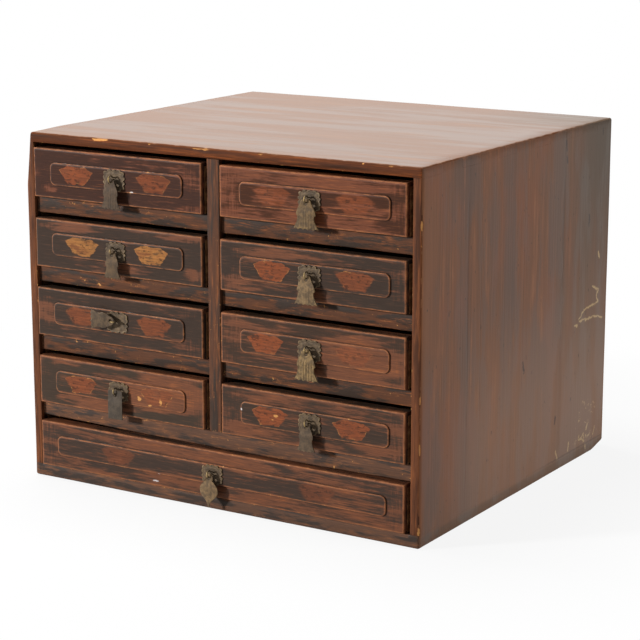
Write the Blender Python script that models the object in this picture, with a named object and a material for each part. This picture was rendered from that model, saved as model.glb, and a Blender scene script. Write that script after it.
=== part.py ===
"""Tabletop chest of nine drawers with raised-panel fronts and hanging brass pulls.

Metres, +Z up. The origin is the middle of the underside, and the drawers open towards -Y.
"""
import math

import bmesh
import bpy
from mathutils import Matrix
from mathutils import Vector

# Case boards
CASE_WIDTH = 0.430
CASE_DEPTH = 0.388
CASE_HEIGHT = 0.338
TOP_THICKNESS = 0.0093
BOTTOM_THICKNESS = 0.0124
SIDE_THICKNESS = 0.0095
BACK_THICKNESS = 0.008
BACK_REBATE = 0.004
DIVIDER_THICKNESS = 0.0135
SHELF_THICKNESS = 0.0155
SHELF_SETBACK = 0.0038
SHELF_EDGE_ROUND = 0.0006
HOUSING_DEPTH = 0.003
TONGUE_STOP = 0.012
FINGER_PITCH = 0.036
CASE_EDGE_ROUND = 0.0035
CASE_EDGE_STEPS = 3
SMALL_DRAWER_ROWS = 4
BOTTOM_OPENING_HEIGHT = 0.0476

# Clearances: glued seams, wood left on a board until it is trimmed, and loose drawers that lean to the left
SEAM = 0.0003
TRIM_ALLOWANCE = 0.002
DRAWER_RUN_GAP = 0.0003
DRAWER_SIDE_GAP = 0.003
DRAWER_LEAN = 0.0015
DRAWER_TOP_GAP = 0.0044
BOTTOM_TOP_GAP = 0.0025
DRAWER_BACK_GAP = 0.004

# Drawers
FRONT_THICKNESS = 0.0125
FRONT_PROUD = 0.002
FRONT_EDGE_ROUND = 0.001
PANEL_RAISE = 0.0015
PANEL_END_MARGIN = 0.0205
RIGHT_PANEL_LEFT_MARGIN = 0.022
RIGHT_PANEL_RIGHT_MARGIN = 0.0155
BOTTOM_PANEL_RIGHT_MARGIN = 0.018
PANEL_EDGE_MARGIN = 0.0128
PANEL_CORNER = 0.0055
PANEL_CORNER_STEPS = 5
PANEL_EDGE_ROUND = 0.0007
WALL_THICKNESS = 0.007
WALL_DROP = 0.004
LAP_DEPTH = 0.007
FLOOR_THICKNESS = 0.005
FLOOR_RISE = 0.003
FLOOR_GROOVE = 0.003

# Back plates and their split-pin staples
PLATE_WIDTH = 0.026
PLATE_HEIGHT = 0.021
PLATE_THICKNESS = 0.001
PLATE_SQUARENESS = 4.0
PLATE_LOBES = 14
PLATE_LOBE_DEPTH = 0.0009
PLATE_STEPS_PER_LOBE = 3
STAPLE_WIRE_RADIUS = 0.0008
STAPLE_EYE_RADIUS = 0.004
STAPLE_EYE_STEPS = 14
STAPLE_LEG_OFFSET = 0.001
STAPLE_BEND_RADIUS = 0.0012
STAPLE_BEND_STEPS = 3
STAPLE_CLINCH = 0.006
STAPLE_SIDES = 6
STAPLE_RISE = 0.002
STAPLE_HOLE_SLACK = 0.0005

# Pendants, measured down from the middle of the staple's eye
PENDANT_THICKNESS = 0.0009
PENDANT_HOLE_RADIUS = 0.0022
PENDANT_HEAD_RIM = 0.0023
PENDANT_ARC_STEPS = 6
FISHTAIL_DROP = 0.028
FISHTAIL_WIDTH = 0.021
FISHTAIL_SHOULDER_DROP = 0.0145
FISHTAIL_SHOULDER_WIDTH = 0.0165
FISHTAIL_WAIST_NOTCH = 0.0012
FISHTAIL_SCALLOPS = 5
FISHTAIL_SCALLOP_DEPTH = 0.0012
STRAP_DROP = 0.031
STRAP_WIDTH = 0.0155
STRAP_CORNER = 0.003
SPADE_DROP = 0.0295
SPADE_WIDTH = 0.020
SPADE_BELLY_DROP = 0.0145
SPADE_TIP_WIDTH = 0.002

# Sizes that follow from those above
HALF_WIDTH = CASE_WIDTH / 2
HALF_DEPTH = CASE_DEPTH / 2
INNER_HALF = HALF_WIDTH - SIDE_THICKNESS
HALF_DIVIDER = DIVIDER_THICKNESS / 2
TOP_UNDERSIDE = CASE_HEIGHT - TOP_THICKNESS
INNER_HEIGHT = TOP_UNDERSIDE - BOTTOM_THICKNESS
SMALL_ROWS_HEIGHT = INNER_HEIGHT - BOTTOM_OPENING_HEIGHT
ROW_PITCH = SMALL_ROWS_HEIGHT / SMALL_DRAWER_ROWS
OPENING_HEIGHT = ROW_PITCH - SHELF_THICKNESS
SHELF_FRONT = SHELF_SETBACK - HALF_DEPTH
BACK_FACE = HALF_DEPTH - BACK_THICKNESS
SHELF_BACK = BACK_FACE - SEAM
FINGER_COUNT = 2 * round((CASE_DEPTH / FINGER_PITCH - 1) / 2) + 1
FRONT_HEIGHT = OPENING_HEIGHT - DRAWER_RUN_GAP - DRAWER_TOP_GAP
BOTTOM_FRONT_HEIGHT = BOTTOM_OPENING_HEIGHT - DRAWER_RUN_GAP - BOTTOM_TOP_GAP
FRONT_BACK = FRONT_THICKNESS - FRONT_PROUD
PANEL_FACE = -FRONT_PROUD - PANEL_RAISE
DRAWER_BACK = BACK_FACE + HALF_DEPTH - DRAWER_BACK_GAP
WALL_FRONT = FRONT_BACK - LAP_DEPTH + SEAM
PLATE_BACK = PANEL_FACE - SEAM
STAPLE_STANDOFF = STAPLE_EYE_RADIUS + STAPLE_WIRE_RADIUS
STAPLE_HOLE_RADIUS = STAPLE_LEG_OFFSET + STAPLE_WIRE_RADIUS + STAPLE_HOLE_SLACK
EYE_Y = PLATE_BACK - PLATE_THICKNESS - STAPLE_STANDOFF
HOLE_DROP = STAPLE_EYE_RADIUS - STAPLE_WIRE_RADIUS - SEAM + PENDANT_HOLE_RADIUS
HEAD_RADIUS = PENDANT_HOLE_RADIUS + PENDANT_HEAD_RIM


def clear_scene():
    """Remove everything that the scene holds."""
    for item in list(bpy.data.objects):
        bpy.data.objects.remove(item)


def make_material(name, colour, roughness, metallic):
    """Return a plain surface of one colour, given as linear red, green and blue."""
    material = bpy.data.materials.new(name)
    material.use_nodes = True
    shader = material.node_tree.nodes["Principled BSDF"]
    shader.inputs["Base Color"].default_value = (*colour, 1.0)
    shader.inputs["Roughness"].default_value = roughness
    shader.inputs["Metallic"].default_value = metallic
    return material


def add_object(name, form, material=None):
    """Turn a bmesh into a linked object."""
    bmesh.ops.recalc_face_normals(form, faces=form.faces)
    mesh = bpy.data.meshes.new(name)
    form.to_mesh(mesh)
    form.free()
    if material:
        mesh.materials.append(material)
    item = bpy.data.objects.new(name, mesh)
    bpy.context.scene.collection.objects.link(item)
    return item


def blocks(ranges):
    """Return a bmesh of rectangular blocks, each given by two opposite corners."""
    form = bmesh.new()
    for corner, opposite in ranges:
        middle = (Vector(corner) + Vector(opposite)) / 2
        size = [abs(a - b) for a, b in zip(corner, opposite)]
        place = Matrix.Translation(middle) @ Matrix.Diagonal((*size, 1.0))
        bmesh.ops.create_cube(form, size=1.0, matrix=place)
    return form


def grown(ranges, gap):
    """Return the ranges, each larger by the gap all round."""
    wider = []
    for corner, opposite in ranges:
        low = [min(a, b) - gap for a, b in zip(corner, opposite)]
        high = [max(a, b) + gap for a, b in zip(corner, opposite)]
        wider.append((low, high))
    return wider


def prism(outline, start, end):
    """Return an outline drawn in X and Z, drawn out from one Y to another."""
    form = bmesh.new()
    corners = [form.verts.new((x, start, z)) for x, z in outline]
    face = form.faces.new(corners)
    drawn = bmesh.ops.extrude_face_region(form, geom=[face])["geom"]
    moved = [item for item in drawn if isinstance(item, bmesh.types.BMVert)]
    bmesh.ops.translate(form, verts=moved, vec=(0.0, end - start, 0.0))
    return form


def round_edges(form, edges, radius, steps):
    """Round the given edges of a bmesh."""
    bmesh.ops.bevel(form, geom=edges, offset=radius, offset_type="OFFSET", segments=steps,
                    profile=0.5, affect="EDGES", material=-1)


def combine(target, form, operation):
    """Cut, trim or join a bmesh onto an object and keep the result as its mesh."""
    tool = add_object("tool", form)
    modifier = target.modifiers.new("shape", "BOOLEAN")
    modifier.operation = operation
    modifier.object = tool
    bpy.context.view_layer.update()
    seen = target.evaluated_get(bpy.context.evaluated_depsgraph_get())
    shaped = bpy.data.meshes.new_from_object(seen)
    target.modifiers.clear()
    target.data = shaped
    bpy.data.objects.remove(tool)


def arc(centre_x, centre_z, radius, first, last, steps):
    """Return points on an arc in X and Z, with angles in degrees from +X towards +Z."""
    points = []
    for step in range(steps + 1):
        angle = math.radians(first + (last - first) * step / steps)
        points.append((centre_x + radius * math.cos(angle), centre_z + radius * math.sin(angle)))
    return points


def curve(start, pull_start, pull_end, end, steps):
    """Return the points of a cubic curve after its start."""
    points = []
    for step in range(1, steps + 1):
        t = step / steps
        weights = ((1 - t) ** 3, 3 * t * (1 - t) ** 2, 3 * t * t * (1 - t), t ** 3)
        pairs = list(zip(weights, (start, pull_start, pull_end, end)))
        points.append((sum(w * p[0] for w, p in pairs), sum(w * p[1] for w, p in pairs)))
    return points


def both_sides(right_half):
    """Close an outline whose right half runs from the top middle to the bottom middle."""
    left_half = [(-x, z) for x, z in reversed(right_half) if x > SEAM]
    return right_half + left_half


# Places of shelves and openings

def opening_floor(row):
    """Height of the surface that a row's drawers run on, counted up from the bottom drawer."""
    if row == 0:
        return BOTTOM_THICKNESS
    return BOTTOM_THICKNESS + BOTTOM_OPENING_HEIGHT + SHELF_THICKNESS + (row - 1) * ROW_PITCH


def column_span(side):
    """The two X values between which the left (-1) or right (1) drawers lie."""
    return sorted((side * HALF_DIVIDER, side * INNER_HALF))


def shelf_range(low_x, high_x, row):
    """The block of the shelf that carries a row, let into the boards at both ends."""
    reach = HOUSING_DEPTH - SEAM
    top = opening_floor(row)
    return (low_x - reach, SHELF_FRONT, top - SHELF_THICKNESS), (high_x + reach, SHELF_BACK, top)


def column_shelf_ranges(side):
    """The shelves between the small drawers of one column."""
    return [shelf_range(*column_span(side), row) for row in range(2, SMALL_DRAWER_ROWS + 1)]


def divider_outline_ranges():
    """The divider's body and the tongue that enters the top board and the lower shelf."""
    floor = opening_floor(1)
    reach = HOUSING_DEPTH - SEAM
    body = (-HALF_DIVIDER, -HALF_DEPTH, floor + SEAM), (HALF_DIVIDER, SHELF_BACK, TOP_UNDERSIDE - SEAM)
    tongue = (
        (-HALF_DIVIDER, TONGUE_STOP - HALF_DEPTH, floor - reach),
        (HALF_DIVIDER, SHELF_BACK, TOP_UNDERSIDE + reach),
    )
    return body, tongue


def back_range():
    """The back panel, which lies in a rebate round the back of the case."""
    reach = BACK_REBATE - SEAM
    low = (-INNER_HALF - reach, BACK_FACE, BOTTOM_THICKNESS - reach)
    high = (INNER_HALF + reach, HALF_DEPTH, TOP_UNDERSIDE + reach)
    return low, high


def finger_span(index):
    """Front and back of one finger, widened by half a seam and run past the case's ends."""
    width = CASE_DEPTH / FINGER_COUNT
    front = index * width - HALF_DEPTH - SEAM / 2
    back = (index + 1) * width - HALF_DEPTH + SEAM / 2
    if index == 0:
        front -= 2 * TRIM_ALLOWANCE
    if index == FINGER_COUNT - 1:
        back += 2 * TRIM_ALLOWANCE
    return front, back


# Case boards

def rounded_case():
    """The whole case as one block with worn-round edges, which trims the outer boards."""
    form = blocks([((-HALF_WIDTH, -HALF_DEPTH, 0.0), (HALF_WIDTH, HALF_DEPTH, CASE_HEIGHT))])
    round_edges(form, form.edges[:], CASE_EDGE_ROUND, CASE_EDGE_STEPS)
    return form


def flat_board(name, low_z, high_z, material):
    """The top or bottom board, notched at both ends for the fingers of the sides."""
    reach_x = HALF_WIDTH + TRIM_ALLOWANCE
    reach_y = HALF_DEPTH + TRIM_ALLOWANCE
    board = add_object(name, blocks([((-reach_x, -reach_y, low_z), (reach_x, reach_y, high_z))]), material)
    notches = []
    for index in range(1, FINGER_COUNT, 2):
        front, back = finger_span(index)
        for side in (-1, 1):
            inner = (side * (INNER_HALF - SEAM), front, low_z - TRIM_ALLOWANCE)
            outer = (side * (reach_x + TRIM_ALLOWANCE), back, high_z + TRIM_ALLOWANCE)
            notches.append((inner, outer))
    combine(board, blocks(notches), "DIFFERENCE")
    combine(board, blocks(grown([back_range()], SEAM)), "DIFFERENCE")
    combine(board, rounded_case(), "INTERSECT")
    return board


def side_board(name, side, material):
    """A side board with fingers at top and bottom and housings for the shelves."""
    reach_y = HALF_DEPTH + TRIM_ALLOWANCE
    outer_x = HALF_WIDTH + TRIM_ALLOWANCE
    low = (side * INNER_HALF, -reach_y, -TRIM_ALLOWANCE)
    high = (side * outer_x, reach_y, CASE_HEIGHT + TRIM_ALLOWANCE)
    board = add_object(name, blocks([(low, high)]), material)
    gaps = []
    for index in range(0, FINGER_COUNT, 2):
        front, back = finger_span(index)
        near_x = side * (INNER_HALF - TRIM_ALLOWANCE)
        far_x = side * (outer_x + TRIM_ALLOWANCE)
        above = CASE_HEIGHT + 2 * TRIM_ALLOWANCE
        gaps.append(((near_x, front, TOP_UNDERSIDE - SEAM), (far_x, back, above)))
        gaps.append(((near_x, front, -2 * TRIM_ALLOWANCE), (far_x, back, BOTTOM_THICKNESS + SEAM)))
    combine(board, blocks(gaps), "DIFFERENCE")
    shelves = column_shelf_ranges(side) + [shelf_range(-INNER_HALF, INNER_HALF, 1)]
    combine(board, blocks(grown(shelves, SEAM)), "DIFFERENCE")
    combine(board, blocks(grown([back_range()], SEAM)), "DIFFERENCE")
    combine(board, rounded_case(), "INTERSECT")
    return board


def shelf(name, span, material):
    """A shelf board whose eased front edge is the rail between two rows of drawers."""
    form = blocks([span])
    front_edges = [e for e in form.edges if all(abs(v.co.y - SHELF_FRONT) < SEAM for v in e.verts)]
    long_edges = [e for e in front_edges if abs(e.verts[0].co.z - e.verts[1].co.z) < SEAM]
    round_edges(form, long_edges, SHELF_EDGE_ROUND, 2)
    return add_object(name, form, material)


def centre_divider(name, material):
    """The upright between the two columns of drawers, grooved for their shelves."""
    body, tongue = divider_outline_ranges()
    board = add_object(name, blocks([body]), material)
    combine(board, blocks([tongue]), "UNION")
    shelves = column_shelf_ranges(-1) + column_shelf_ranges(1)
    combine(board, blocks(grown(shelves, SEAM)), "DIFFERENCE")
    return board


def build_case(lacquer, plain_wood):
    """Make the thirteen boards of the case."""
    tongue = grown([divider_outline_ranges()[1]], SEAM)
    top = flat_board("top_board", TOP_UNDERSIDE, CASE_HEIGHT + TRIM_ALLOWANCE, lacquer)
    combine(top, blocks(tongue), "DIFFERENCE")
    flat_board("bottom_board", -TRIM_ALLOWANCE, BOTTOM_THICKNESS, lacquer)
    side_board("left_side", -1, lacquer)
    side_board("right_side", 1, lacquer)
    add_object("back_panel", blocks([back_range()]), plain_wood)
    centre_divider("centre_divider", lacquer)
    lower = shelf("lower_shelf", shelf_range(-INNER_HALF, INNER_HALF, 1), lacquer)
    combine(lower, blocks(tongue), "DIFFERENCE")
    for side, word in ((-1, "left"), (1, "right")):
        for row in range(2, SMALL_DRAWER_ROWS + 1):
            name = f"{word}_shelf_{SMALL_DRAWER_ROWS + 1 - row}"
            shelf(name, shelf_range(*column_span(side), row), lacquer)


# Drawers, in a frame with its origin at the front's bottom middle in the case's front plane

def rounded_rectangle(low_x, high_x, low_z, high_z, radius, steps):
    """An outline with round corners between two places on X and two on Z."""
    limit = min(radius, (high_z - low_z) / 2 - SEAM)
    left, right = low_x + limit, high_x - limit
    points = []
    for middle, level, first in ((right, high_z - limit, 90), (right, low_z + limit, 0),
                                 (left, low_z + limit, -90), (left, high_z - limit, -180)):
        points += arc(middle, level, limit, first, first - 90, steps)
    return points


def floor_range(width):
    """The drawer floor, held in grooves on all four sides."""
    reach = width / 2 - WALL_THICKNESS + FLOOR_GROOVE - SEAM
    front = FRONT_BACK - FLOOR_GROOVE + SEAM
    back = DRAWER_BACK - WALL_THICKNESS + FLOOR_GROOVE - SEAM
    return (-reach, front, FLOOR_RISE), (reach, back, FLOOR_RISE + FLOOR_THICKNESS)


def side_wall_range(width, height, side):
    """One side of a drawer, lapped into the end of a front of the given height."""
    outer = side * width / 2
    inner = side * (width / 2 - WALL_THICKNESS)
    return (inner, WALL_FRONT, 0.0), (outer, DRAWER_BACK, height - WALL_DROP)


def eye_height(height):
    """How high the staple's eye lies on a front of the given height."""
    return height / 2 + STAPLE_RISE


def drawer_front(name, width, height, margins, material):
    """A drawer front with a panel set in by two margins, lapped ends, a floor groove and a staple hole."""
    half = width / 2
    left_margin, right_margin = margins
    form = blocks([((-half, -FRONT_PROUD, 0.0), (half, FRONT_BACK, height))])
    round_edges(form, form.edges[:], FRONT_EDGE_ROUND, 2)
    front = add_object(name, form, material)

    outline = rounded_rectangle(left_margin - half, half - right_margin, PANEL_EDGE_MARGIN,
                                height - PANEL_EDGE_MARGIN, PANEL_CORNER, PANEL_CORNER_STEPS)
    panel = prism(outline, PANEL_FACE, -FRONT_PROUD + PANEL_RAISE)
    rim = [e for e in panel.edges if all(abs(v.co.y - PANEL_FACE) < SEAM for v in e.verts)]
    round_edges(panel, rim, PANEL_EDGE_ROUND, 2)
    combine(front, panel, "UNION")

    laps = []
    for side in (-1, 1):
        inner = (side * (half - WALL_THICKNESS - SEAM), WALL_FRONT - SEAM, -TRIM_ALLOWANCE)
        outer = (side * (half + TRIM_ALLOWANCE), FRONT_BACK + TRIM_ALLOWANCE, height - WALL_DROP + SEAM)
        laps.append((inner, outer))
    combine(front, blocks(laps), "DIFFERENCE")
    combine(front, blocks(grown([floor_range(width)], SEAM)), "DIFFERENCE")

    round_hole = arc(0.0, eye_height(height), STAPLE_HOLE_RADIUS, 0, 324, 9)
    hole = prism(round_hole, PANEL_FACE - TRIM_ALLOWANCE, FRONT_BACK + TRIM_ALLOWANCE)
    combine(front, hole, "DIFFERENCE")
    return front


def back_wall_range(width, height):
    """The back of a drawer, between its sides."""
    reach = width / 2 - WALL_THICKNESS
    return (-reach, DRAWER_BACK - WALL_THICKNESS, 0.0), (reach, DRAWER_BACK, height - WALL_DROP)


def joined_walls(name, width, height, material):
    """The two sides and the back of a small drawer, glued into one frame."""
    left, right = (side_wall_range(width, height, side) for side in (-1, 1))
    walls = add_object(name, blocks([left]), material)
    low, high = back_wall_range(width, height)
    tie = (low[0] - WALL_THICKNESS / 2, low[1], low[2]), (high[0] + WALL_THICKNESS / 2, high[1], high[2])
    combine(walls, blocks([tie]), "UNION")
    combine(walls, blocks([right]), "UNION")
    combine(walls, blocks(grown([floor_range(width)], SEAM)), "DIFFERENCE")
    return walls


def single_wall(name, span, width, material):
    """One wall of the wide drawer, grooved for its floor."""
    wall = add_object(name, blocks([span]), material)
    combine(wall, blocks(grown([floor_range(width)], SEAM)), "DIFFERENCE")
    return wall


# Pulls, with the back plate's frame at the middle of its back and the pendant's at the staple's eye

def plate_outline():
    """A squarish plate with a lobed edge."""
    points = []
    count = PLATE_LOBES * PLATE_STEPS_PER_LOBE
    for step in range(count):
        angle = 2 * math.pi * step / count
        across = abs(math.cos(angle)) ** PLATE_SQUARENESS
        along = abs(math.sin(angle)) ** PLATE_SQUARENESS
        square = (across + along) ** (-1 / PLATE_SQUARENESS)
        dip = PLATE_LOBE_DEPTH * (1 - abs(math.sin(PLATE_LOBES * angle / 2)))
        x = math.cos(angle) * (PLATE_WIDTH / 2 * square - dip)
        z = math.sin(angle) * (PLATE_HEIGHT / 2 * square - dip)
        points.append((x, z))
    return points


def staple_path():
    """The wire's middle line in Y and Z, from one clinched leg round the eye to the other."""
    inside = FRONT_BACK - PLATE_BACK + SEAM + STAPLE_WIRE_RADIUS
    bend = STAPLE_BEND_RADIUS
    eye = -PLATE_THICKNESS - STAPLE_STANDOFF
    open_angle = math.degrees(math.asin(STAPLE_LEG_OFFSET / STAPLE_EYE_RADIUS))
    upper = [(inside, STAPLE_LEG_OFFSET + bend + STAPLE_CLINCH)]
    upper += arc(inside - bend, STAPLE_LEG_OFFSET + bend, bend, 0, -90, STAPLE_BEND_STEPS)
    ring = arc(eye, 0.0, STAPLE_EYE_RADIUS, open_angle, 360 - open_angle, STAPLE_EYE_STEPS)
    lower = [(y, -z) for y, z in reversed(upper)]
    return upper + ring + lower


def staple_wire(turned):
    """A round wire swept along the staple's path, upright or turned a quarter about Y."""
    form = bmesh.new()
    path = [Vector((0.0, y, z)) for y, z in staple_path()]
    rings = []
    for index, point in enumerate(path):
        before = path[max(index - 1, 0)]
        after = path[min(index + 1, len(path) - 1)]
        ahead = (after - before).normalized()
        sideways = Vector((1.0, 0.0, 0.0))
        upward = sideways.cross(ahead)
        ring = []
        for corner in range(STAPLE_SIDES):
            angle = 2 * math.pi * corner / STAPLE_SIDES
            spoke = sideways * math.cos(angle) + upward * math.sin(angle)
            ring.append(form.verts.new(point + STAPLE_WIRE_RADIUS * spoke))
        rings.append(ring)
    for near, far in zip(rings, rings[1:]):
        for corner in range(STAPLE_SIDES):
            following = (corner + 1) % STAPLE_SIDES
            form.faces.new((near[corner], near[following], far[following], far[corner]))
    form.faces.new(rings[0])
    form.faces.new(rings[-1])
    if turned:
        quarter = Matrix.Rotation(math.pi / 2, 3, "Y")
        bmesh.ops.rotate(form, verts=form.verts, cent=(0.0, 0.0, 0.0), matrix=quarter)
    bmesh.ops.translate(form, verts=form.verts, vec=(0.0, 0.0, STAPLE_RISE))
    bmesh.ops.recalc_face_normals(form, faces=form.faces)
    return form


def back_plate(name, turned, material):
    """A lobed plate with the split-pin staple that passes through it and the drawer front."""
    plate = add_object(name, prism(plate_outline(), -PLATE_THICKNESS, 0.0), material)
    combine(plate, staple_wire(turned), "UNION")
    return plate


def head_arc(last_angle):
    """The round head of a pendant, from its top to the given angle on the right."""
    return arc(0.0, -HOLE_DROP, HEAD_RADIUS, 90, last_angle, PENDANT_ARC_STEPS)


def fishtail_outline():
    """A bell-shaped pendant with a nicked waist and a scalloped tail."""
    points = head_arc(20)
    shoulder = (FISHTAIL_SHOULDER_WIDTH / 2, -FISHTAIL_SHOULDER_DROP)
    start = points[-1]
    points += curve(start, (start[0], start[1] - HEAD_RADIUS / 2),
                    (shoulder[0], shoulder[1] + HEAD_RADIUS), shoulder, 5)
    waist = (shoulder[0] - FISHTAIL_WAIST_NOTCH, shoulder[1] - FISHTAIL_WAIST_NOTCH)
    points.append(waist)
    tail = (FISHTAIL_WIDTH / 2, -FISHTAIL_DROP)
    points += curve(waist, (waist[0], (waist[1] + tail[1]) / 2),
                    ((waist[0] + tail[0]) / 2, (waist[1] + 2 * tail[1]) / 3), tail, 4)
    scallop = FISHTAIL_WIDTH / FISHTAIL_SCALLOPS
    steps = 4 * FISHTAIL_SCALLOPS
    for step in range(1, steps):
        x = FISHTAIL_WIDTH / 2 - FISHTAIL_WIDTH * step / steps
        lift = abs(math.sin(math.pi * (FISHTAIL_WIDTH / 2 - x) / scallop))
        points.append((x, -FISHTAIL_DROP + FISHTAIL_SCALLOP_DEPTH * lift))
    sides = len(points) - steps + 1
    return points + [(-x, z) for x, z in reversed(points[1:sides])]


def strap_outline():
    """A plain narrow pendant with clipped upper corners."""
    half = STRAP_WIDTH / 2
    top = HEAD_RADIUS - HOLE_DROP
    return both_sides([(half - STRAP_CORNER, top), (half, top - STRAP_CORNER), (half, -STRAP_DROP)])


def spade_outline():
    """A leaf-shaped pendant that swells below its head and ends in a blunt point."""
    points = head_arc(-30)
    start = points[-1]
    belly = (SPADE_WIDTH / 2, -SPADE_BELLY_DROP)
    tip = (SPADE_TIP_WIDTH / 2, -SPADE_DROP)
    fall = belly[1] - tip[1]
    points += curve(start, (start[0], start[1] - HEAD_RADIUS / 4),
                    (belly[0], belly[1] + HEAD_RADIUS), belly, 5)
    points += curve(belly, (belly[0], belly[1] - fall / 2), (tip[0], tip[1] + fall / 2), tip, 6)
    return both_sides(points)


def pendant(name, outline, material):
    """A sheet pendant with the round hole by which it hangs in the staple's eye."""
    half = PENDANT_THICKNESS / 2
    item = add_object(name, prism(outline, -half, half), material)
    round_hole = arc(0.0, -HOLE_DROP, PENDANT_HOLE_RADIUS, 0, 330, 11)
    hole = prism(round_hole, -PENDANT_THICKNESS, PENDANT_THICKNESS)
    combine(item, hole, "DIFFERENCE")
    return item


# Assembly

def place(name, pattern, parent, location, turned=False):
    """Put a copy of a finished piece in a drawer's frame."""
    item = bpy.data.objects.new(name, pattern.data)
    bpy.context.scene.collection.objects.link(item)
    item.parent = parent
    item.location = location
    if turned:
        item.rotation_euler = (0.0, math.pi / 2, 0.0)
    return item


def drawer_frame(name, middle_x, row):
    """An empty at a closed drawer's front, on the line along which it slides."""
    frame = bpy.data.objects.new(name, None)
    bpy.context.scene.collection.objects.link(frame)
    frame.location = (middle_x - DRAWER_LEAN, -HALF_DEPTH, opening_floor(row) + DRAWER_RUN_GAP)
    return frame


def place_pull(word, frame, height, plate, hanging, turned):
    """Hang one pull on a drawer whose front has the given height."""
    place(f"pull_{word}_plate", plate, frame, (0.0, PLATE_BACK, height / 2))
    place(f"pull_{word}_pendant", hanging, frame, (0.0, EYE_Y, eye_height(height)), turned)


def build_small_drawers(fronts, patterns, plates, pendants):
    """Fill both columns, counted down from the top, each with its own kind of front."""
    low, high = column_span(1)
    for side, word in ((-1, "left"), (1, "right")):
        for number in range(1, SMALL_DRAWER_ROWS + 1):
            label = f"{word}_{number}"
            frame = drawer_frame(f"frame_{label}", side * (low + high) / 2, SMALL_DRAWER_ROWS + 1 - number)
            place(f"drawer_{label}_front", fronts[word], frame, (0.0, 0.0, 0.0))
            for kind, pattern in patterns.items():
                place(f"drawer_{label}_{kind}", pattern, frame, (0.0, 0.0, 0.0))
            turned = label == "left_3"
            hanging = pendants["strap"] if label == "left_4" else pendants["fishtail"]
            place_pull(label, frame, FRONT_HEIGHT, plates[turned], hanging, turned)


def build_bottom_drawer(width, height, lacquer, plain_wood, plate, hanging):
    """The full-width drawer, with each of its boards a piece of its own."""
    frame = drawer_frame("frame_bottom", 0.0, 0)
    left, right = (side_wall_range(width, height, side) for side in (-1, 1))
    back_low, back_high = back_wall_range(width, height)
    back = (back_low[0] + SEAM, back_low[1], back_low[2]), (back_high[0] - SEAM, back_high[1], back_high[2])
    margins = (PANEL_END_MARGIN, BOTTOM_PANEL_RIGHT_MARGIN)
    pieces = [
        drawer_front("drawer_bottom_front", width, height, margins, lacquer),
        single_wall("drawer_bottom_left_side", left, width, plain_wood),
        single_wall("drawer_bottom_right_side", right, width, plain_wood),
        single_wall("drawer_bottom_back", back, width, plain_wood),
        add_object("drawer_bottom_floor", blocks([floor_range(width)]), plain_wood),
    ]
    for piece in pieces:
        piece.parent = frame
    place_pull("bottom", frame, height, plate, hanging, False)


def build_chest():
    """Build the case, the drawers and the pulls."""
    clear_scene()
    case_lacquer = make_material("case_lacquer", (0.12, 0.058, 0.038), 0.4, 0.0)
    front_lacquer = make_material("front_lacquer", (0.11, 0.04, 0.02), 0.45, 0.0)
    plain_wood = make_material("plain_wood", (0.28, 0.17, 0.09), 0.7, 0.0)
    brass = make_material("aged_brass", (0.17, 0.125, 0.075), 0.5, 1.0)

    build_case(case_lacquer, plain_wood)

    low, high = column_span(1)
    small = high - low - 2 * DRAWER_SIDE_GAP
    margins = {
        "left": (PANEL_END_MARGIN, PANEL_END_MARGIN),
        "right": (RIGHT_PANEL_LEFT_MARGIN, RIGHT_PANEL_RIGHT_MARGIN),
    }
    fronts = {}
    for word, pair in margins.items():
        fronts[word] = drawer_front(f"{word}_front", small, FRONT_HEIGHT, pair, front_lacquer)
    patterns = {
        "walls": joined_walls("small_walls", small, FRONT_HEIGHT, plain_wood),
        "floor": add_object("small_floor", blocks([floor_range(small)]), plain_wood),
    }
    plates = {turned: back_plate("plate", turned, brass) for turned in (False, True)}
    outlines = {"fishtail": fishtail_outline(), "strap": strap_outline(), "spade": spade_outline()}
    pendants = {name: pendant(name, outline, brass) for name, outline in outlines.items()}

    build_small_drawers(fronts, patterns, plates, pendants)
    wide = 2 * (INNER_HALF - DRAWER_SIDE_GAP)
    height = BOTTOM_FRONT_HEIGHT
    build_bottom_drawer(wide, height, front_lacquer, plain_wood, plates[False], pendants["spade"])
    for pattern in [*fronts.values(), *patterns.values(), *plates.values(), *pendants.values()]:
        bpy.data.objects.remove(pattern)


build_chest()
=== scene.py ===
import math
import random

import bmesh
import bpy
from bmesh.types import BMEdge, BMFace, BMVert
from mathutils import Matrix, Vector, noise
from mathutils.geometry import interpolate_bezier


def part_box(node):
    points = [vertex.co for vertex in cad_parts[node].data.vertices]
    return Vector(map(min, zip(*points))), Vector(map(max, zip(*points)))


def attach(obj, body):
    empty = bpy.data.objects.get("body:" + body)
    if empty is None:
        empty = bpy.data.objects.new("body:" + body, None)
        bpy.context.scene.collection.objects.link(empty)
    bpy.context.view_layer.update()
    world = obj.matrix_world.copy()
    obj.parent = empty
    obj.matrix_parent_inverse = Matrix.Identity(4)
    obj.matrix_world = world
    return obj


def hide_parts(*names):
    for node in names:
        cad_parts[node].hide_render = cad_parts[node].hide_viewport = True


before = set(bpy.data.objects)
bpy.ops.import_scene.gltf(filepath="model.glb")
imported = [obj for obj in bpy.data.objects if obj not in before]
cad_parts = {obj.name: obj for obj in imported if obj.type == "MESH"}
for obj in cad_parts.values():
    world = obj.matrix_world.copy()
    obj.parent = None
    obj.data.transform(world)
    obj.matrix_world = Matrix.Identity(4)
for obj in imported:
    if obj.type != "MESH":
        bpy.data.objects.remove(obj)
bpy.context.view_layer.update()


# Top, bottom and side boards: wide planks of softwood under a thin red-brown lacquer, rubbed glossy
# on top and scuffed at the sides. Fingers along their ends lock and are glued, never nailed, and a
# rebate round the back edge takes the back panel.
top_low, top_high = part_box("top_board")
bottom_low, bottom_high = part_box("bottom_board")
back_low, back_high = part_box("back_panel")
side_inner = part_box("right_side")[0].x
case_low = bottom_low.copy()
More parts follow.
